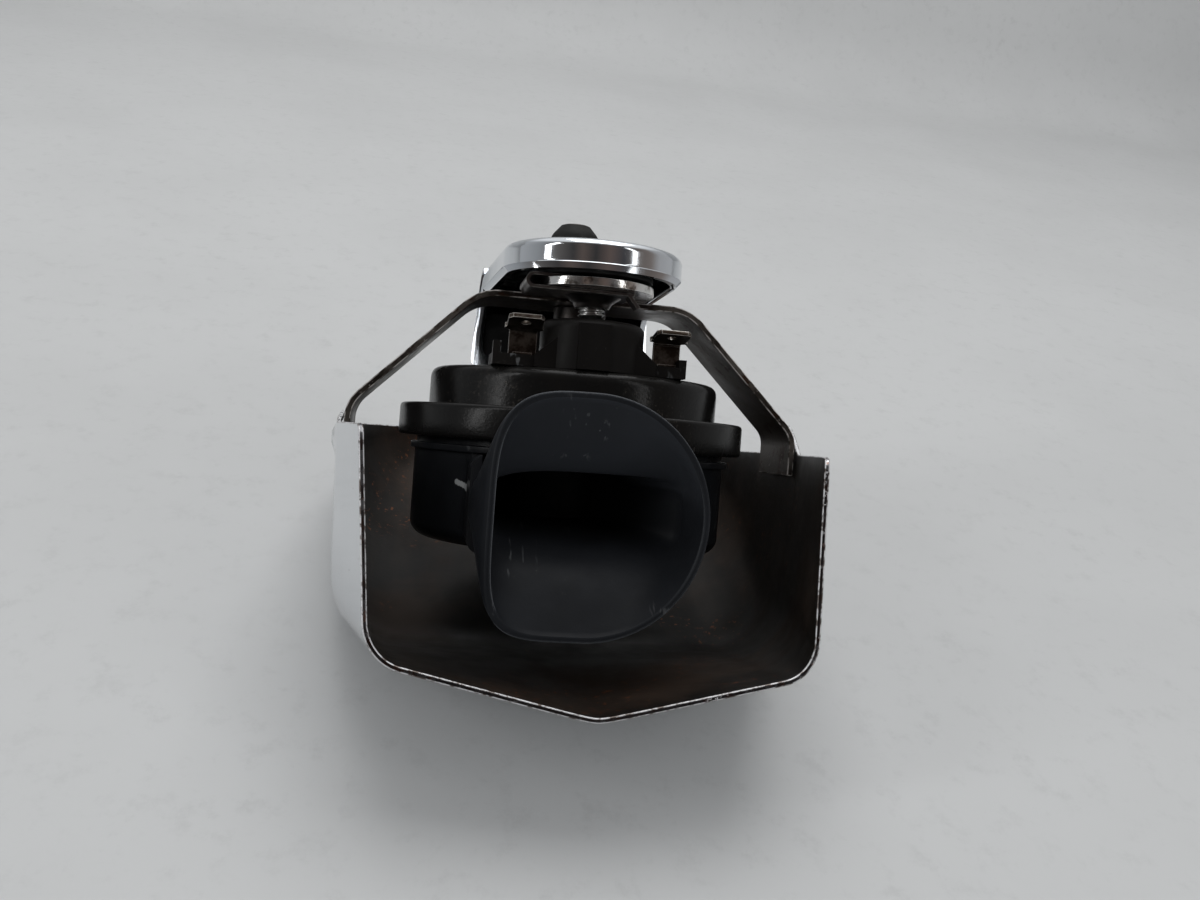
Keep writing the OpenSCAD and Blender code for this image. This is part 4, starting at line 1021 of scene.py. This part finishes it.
class HORN_OT_terminals(bpy.types.Operator):
    """Mould the terminal block and set the spade terminals in it"""

    bl_idname = "horn.terminals"
    bl_label = "Terminal Block"

    def execute(self, context):
        refined("terminal_block", 0.25, "block_plastic")
        refined("left_terminal", 0.12)
        refined("right_terminal", 0.12)
        refined("terminal_rivets", 0.2)
        refined("adjusting_screw", 0.15)
        return {"FINISHED"}


# Radius and pitch of the threads, and the bolt's head
STUD_THREAD, BOLT_THREAD = (3.0, 1.0), (2.5, 0.8)
HEAD_LOW, HEAD_HIGH, HEAD_R, FLANGE_R, SOCKET_R = 35.7, 36.85, 3.5, 5.0, 1.75
BRACKET_CUTS = (31.25, 33.6)  # between these heights the bracket's edge is a plain wall


class HORN_OT_fasteners(bpy.types.Operator):
    """Turn the stud, bolt, nuts and washer, with their threads"""

    bl_idname = "horn.fasteners"
    bl_label = "Stud, Bolt and Nuts"

    def execute(self, context):
        body = lathe(
            fillet([(0, 12.3), (6.4, 12.3), (6.4, 14.8), (5.2, 14.8), (5.2, 25.95), (0, 25.95)],
                   [0, 0.3, 0.3, 0.3, 0.3, 0], 3),
            HORN, 64,
        )
        stud = joined(body, thread(*STUD_THREAD, 25.9, 33.45, HORN))
        piece("mounting_stud_turned", stud, ["mounting_stud"], None, 40)
        refined("stud_nut", 0.12, "zinc")
        refined("lock_washer", 0.12)
        flange = [(FLANGE_R, HEAD_LOW + 0.15), (FLANGE_R, HEAD_LOW - 0.35), (0, HEAD_LOW - 0.35)]
        outline = [(0, HEAD_LOW), (HEAD_R, HEAD_LOW), (HEAD_R, HEAD_HIGH), *flange]
        head = lathe(fillet(outline, [0, 0, 0, 0.5, 0.1, 0], 4), BOLT, 48)
        rim, socket = circle(BOLT, HEAD_R, 48), circle(BOLT, SOCKET_R, 6)
        cap = prism(rim, HEAD_LOW, HEAD_HIGH, [socket])
        bolt = joined(head, cap, thread(*BOLT_THREAD, 22.25, 35.4, BOLT))
        piece("bracket_bolt_turned", bolt, ["bracket_bolt"], None, 40)
        refined("mount_nut", 0.12)
        refined("mount_foot_stud", 0.15)
        return {"FINISHED"}


class HORN_OT_bracket(bpy.types.Operator):
    """Press the chromed bracket and the plate and clip under it"""

    bl_idname = "horn.bracket"
    bl_label = "Bracket"

    def execute(self, context):
        refined("bracket", 0.2, degrees=50, cuts=BRACKET_CUTS)
        refined("window_pad", 0.3)
        refined("tongue_plate", 0.3, "tongue_plating")
        refined("clip_nut", 0.1)
        refined("cup_cushion", 0.3)
        refined("cushion_sleeve", 0.1)
        return {"FINISHED"}


class HORN_OT_rubber_mount(bpy.types.Operator):
    """Mould the rubber mount round its threaded insert"""

    bl_idname = "horn.rubber_mount"
    bl_label = "Rubber Mount"

    def execute(self, context):
        at = (MOUNT.x, MOUNT.y)
        top = MOUNT.z
        cone = fillet(
            [(4.6, 36.5), (7.5, 36.5), (8.6, 35.35), (8.6, 37.35), (7.2, 38.6), (5.7, 40.6),
             (4.9, 43.2), (3.1, top - 0.15), (2.95, top - 0.3), (2.95, 37.3), (4.6, 37.3)],
            [0, 0, 0.2, 0.5, 1.8, 3.2, 3.4, 0.2, 0, 0, 0], 8,
        )
        piece("mount_rubber_cone", lathe(cone, at, 64, closed=True), ["mount_rubber"])
        insert = fillet(
            [(0, 37.2), (2.9, 37.2), (2.9, top - 0.3), (2.65, top), (2.5, top),
             (2.5, top - 7), (0, top - 7)],
            [0, 0.1, 0.1, 0.05, 0, 0, 0], 3,
        )
        piece("mount_insert_turned", lathe(insert, at, 64), ["mount_insert"])
        return {"FINISHED"}


class HORN_OT_inner_pieces(bpy.types.Operator):
    """Finish the pieces inside the horn"""

    bl_idname = "horn.inner_pieces"
    bl_label = "Pieces Inside"

    def execute(self, context):
        for node in (
            "rear_gasket", "front_gasket", "diaphragm", "armature", "armature_washer",
            "pole_core", "coil_bobbin", "coil_winding", "breaker_base", "fixed_contact",
            "breaker_arm", "moving_contact",
        ):
            keep_node(node)
        return {"FINISHED"}


# ---- Table, light and camera ----

EYE = Vector((-31.7, -177.0, 0))  # the camera's place in the cover's own frame
YAW, ROLL, PITCH = math.radians(10), math.radians(4.2), math.radians(0.4987)
SENSOR, FOCAL, PHOTO_WIDTH = 36, 1080, 1200  # the sensor in millimetres, the rest in pixels
TABLE_Z = -71.8  # the table's height, in millimetres


def aim_camera():
    """The photograph's viewpoint, worked out from the horn's round parts."""
    right = Vector((math.cos(YAW), -math.sin(YAW), 0))
    ahead = Vector((math.sin(YAW), math.cos(YAW), 0))
    up = Vector((0, 0, 1))
    ahead, up = (
        ahead * math.cos(PITCH) - up * math.sin(PITCH),
        up * math.cos(PITCH) + ahead * math.sin(PITCH),
    )
    across = right * math.cos(ROLL) + up * math.sin(ROLL)
    upward = up * math.cos(ROLL) - right * math.sin(ROLL)
    turn = Matrix((across, upward, -ahead)).transposed().to_4x4()
    laid = Matrix.Rotation(-REST_TILT, 4, "X")
    camera = bpy.data.cameras.new("photo_view")
    camera.sensor_width = SENSOR
    camera.lens = SENSOR * FOCAL / PHOTO_WIDTH
    camera.clip_start = 0.01
    obj = linked("photo_view", camera)
    obj.matrix_world = Matrix.Translation(LAID @ EYE) @ laid @ turn
    bpy.context.scene.camera = obj


def softbox(name, place, aim, across, power, tall):
    """A soft rectangular lamp at place, turned to aim."""
    lamp = bpy.data.lights.new(name, "AREA")
    lamp.shape = "RECTANGLE"
    lamp.size, lamp.size_y = across, tall
    lamp.energy = power
    obj = linked(name, lamp)
    obj.location = place
    obj.rotation_euler = (Vector(aim) - Vector(place)).to_track_quat("-Z", "Y").to_euler()


# What polished surfaces mirror all round the horn: an angle from the camera's side of it,
# to the left below 0, and a colour
ROOM = (
    (-180, (0.56, 0.57, 0.58)), (-160, (0.42, 0.45, 0.48)), (-130, (0.42, 0.44, 0.46)),
    (-98, (0.40, 0.41, 0.42)), (-72, (0.30, 0.31, 0.32)), (-46, (0.12, 0.11, 0.105)),
    (-24, (0.045, 0.042, 0.042)), (-12, (0.11, 0.085, 0.075)), (4, (0.04, 0.038, 0.038)),
    (22, (0.12, 0.09, 0.08)), (40, (0.05, 0.05, 0.055)), (62, (0.12, 0.10, 0.09)),
    (80, (0.20, 0.17, 0.155)), (94, (0.38, 0.38, 0.385)), (130, (0.46, 0.465, 0.47)),
    (180, (0.56, 0.57, 0.58)),
)
ROOM_TURN = 9.7  # degrees from the cover's own lip side to the camera's side
CEILING, CEILING_FROM, CEILING_FULL = (0.90, 0.91, 0.92), 0.62, 0.86
# The plain light for all else, and what the camera sees past the table
FILL, FILL_STRENGTH = (0.97, 0.985, 1.0), 0.485
BEHIND = (0.53, 0.535, 0.535)


def studio_world():
    """Even pale light; reflections see a room that is darker on the camera's side."""
    world = bpy.data.worlds.new("studio")
    bpy.context.scene.world = world
    world.use_nodes = True
    world.node_tree.nodes.clear()
    w = Nodes(world.node_tree)
    rays = w.node("LightPath")

    def background(colour, strength=1.0):
        return w.node("Background", {"Color": colour, "Strength": strength}).outputs[0]

    def unless(ray, a, b):
        """Shader a, but b for one kind of ray."""
        return w.node("MixShader", {0: rays.outputs[ray], 1: a, 2: b}).outputs[0]

    place = w.node("TexCoord").outputs["Generated"]
    tilt = w.node("Mapping", {"Vector": place, "Rotation": (REST_TILT, 0, 0)})
    split = w.node("SeparateXYZ", {0: tilt.outputs["Vector"]})
    ahead = w.math("MULTIPLY", split.outputs["Y"], -1)
    around = w.math("ARCTAN2", split.outputs["X"], ahead)
    share = w.math("MULTIPLY_ADD", around, 1 / math.tau, 0.5 + ROOM_TURN / 360)
    ramp = w.node("ValToRGB", {0: w.math("FRACT", share)})
    stops = ramp.color_ramp.elements
    for (angle, colour), stop in zip((ROOM[0], ROOM[-1]), stops):
        stop.position, stop.color = angle / 360 + 0.5, (*colour, 1)
    for angle, colour in ROOM[1:-1]:
        stops.new(angle / 360 + 0.5).color = (*colour, 1)
    height = w.fade(split.outputs["Z"], CEILING_FROM, CEILING_FULL)
    room = w.mix(height, ramp.outputs["Color"], CEILING)
    lit = unless("Is Glossy Ray", background(FILL, FILL_STRENGTH), background(room))
    lit = unless("Is Camera Ray", lit, background(BEHIND))
    w.node("OutputWorld", {"Surface": lit})


# The table's outline, (y, height above it) in metres, which rises to a backdrop
TABLE_LINE, TABLE_BEND, TABLE_HALF_WIDTH = [(-1.2, 0.0), (0.70, 0.0), (0.86, 0.5)], 0.09, 1.6
# Each lamp's place, what it is aimed at, its width, its power and its height
LAMPS = {
    "overhead": ((0.05, 0.28, 0.95), (0, -0.02, -0.05), 0.8, 5.4, 0.8),
    "left_strip": ((-0.95, -0.31, 0.41), (0, -0.03, 0), 0.13, 2.2, 0.8),
    "right_strip": ((0.72, -0.59, 0.56), (0, -0.03, 0), 0.10, 0.8, 0.8),
}


class HORN_OT_stage(bpy.types.Operator):
    """Set the pale table, its backdrop, the lamps and the camera"""

    bl_idname = "horn.stage"
    bl_label = "Table, Lamps and Camera"

    def execute(self, context):
        line = fillet(TABLE_LINE, [0, TABLE_BEND, 0], 10)
        bm = bmesh.new()
        edges = chain(bm, [(-TABLE_HALF_WIDTH, y, TABLE_Z * MM + z) for y, z in line])[1]
        grown = bmesh.ops.extrude_edge_only(bm, edges=edges)["geom"]
        side = [v for v in grown if isinstance(v, bmesh.types.BMVert)]
        bmesh.ops.translate(bm, verts=side, vec=(2 * TABLE_HALF_WIDTH, 0, 0))
        outward(bm)
        obj = placed("table", bm)
        obj.data.materials.append(MATERIALS["table"])
        for name, lamp in LAMPS.items():
            softbox(name, *lamp)
        aim_camera()
        studio_world()
        context.scene.view_settings.view_transform = "Standard"
        return {"FINISHED"}


class HORN_PT_panel(bpy.types.Panel):
    """Sidebar panel that lists the horn's pieces"""

    bl_idname = "HORN_PT_panel"
    bl_label = "Motorcycle Horn"
    bl_space_type = "VIEW_3D"
    bl_region_type = "UI"
    bl_category = "Horn"

    def draw(self, context):
        for group in GROUPS:
            box = self.layout.box()
            settings = getattr(context.scene, group)
            for key in settings.bl_rna.properties.keys():
                if key not in ("rna_type", "name"):
                    box.prop(settings, key)
        for operator in OPERATORS:
            self.layout.operator(operator.bl_idname)


GROUPS = {"horn_cover": CoverSizes, "horn_body": HornSizes, "horn_colours": FinishColours}
OPERATORS = (
    HORN_OT_stage, HORN_OT_cover, HORN_OT_strap, HORN_OT_can, HORN_OT_trumpet,
    HORN_OT_terminals, HORN_OT_fasteners, HORN_OT_bracket, HORN_OT_rubber_mount,
    HORN_OT_inner_pieces,
)


def register():
    for cls in (*GROUPS.values(), *OPERATORS, HORN_PT_panel):
        bpy.utils.register_class(cls)
    for name, group in GROUPS.items():
        setattr(bpy.types.Scene, name, bpy.props.PointerProperty(type=group))


def unregister():
    for name in GROUPS:
        delattr(bpy.types.Scene, name)
    for cls in reversed((*GROUPS.values(), *OPERATORS, HORN_PT_panel)):
        bpy.utils.unregister_class(cls)


def main():
    """Register the tools, make the finishes and build every piece."""
    register()
    make_materials(bpy.context.scene.horn_colours)
    for operator in OPERATORS:
        getattr(bpy.ops.horn, operator.bl_idname.split(".")[1])()


if __name__ == "__main__":
    main()
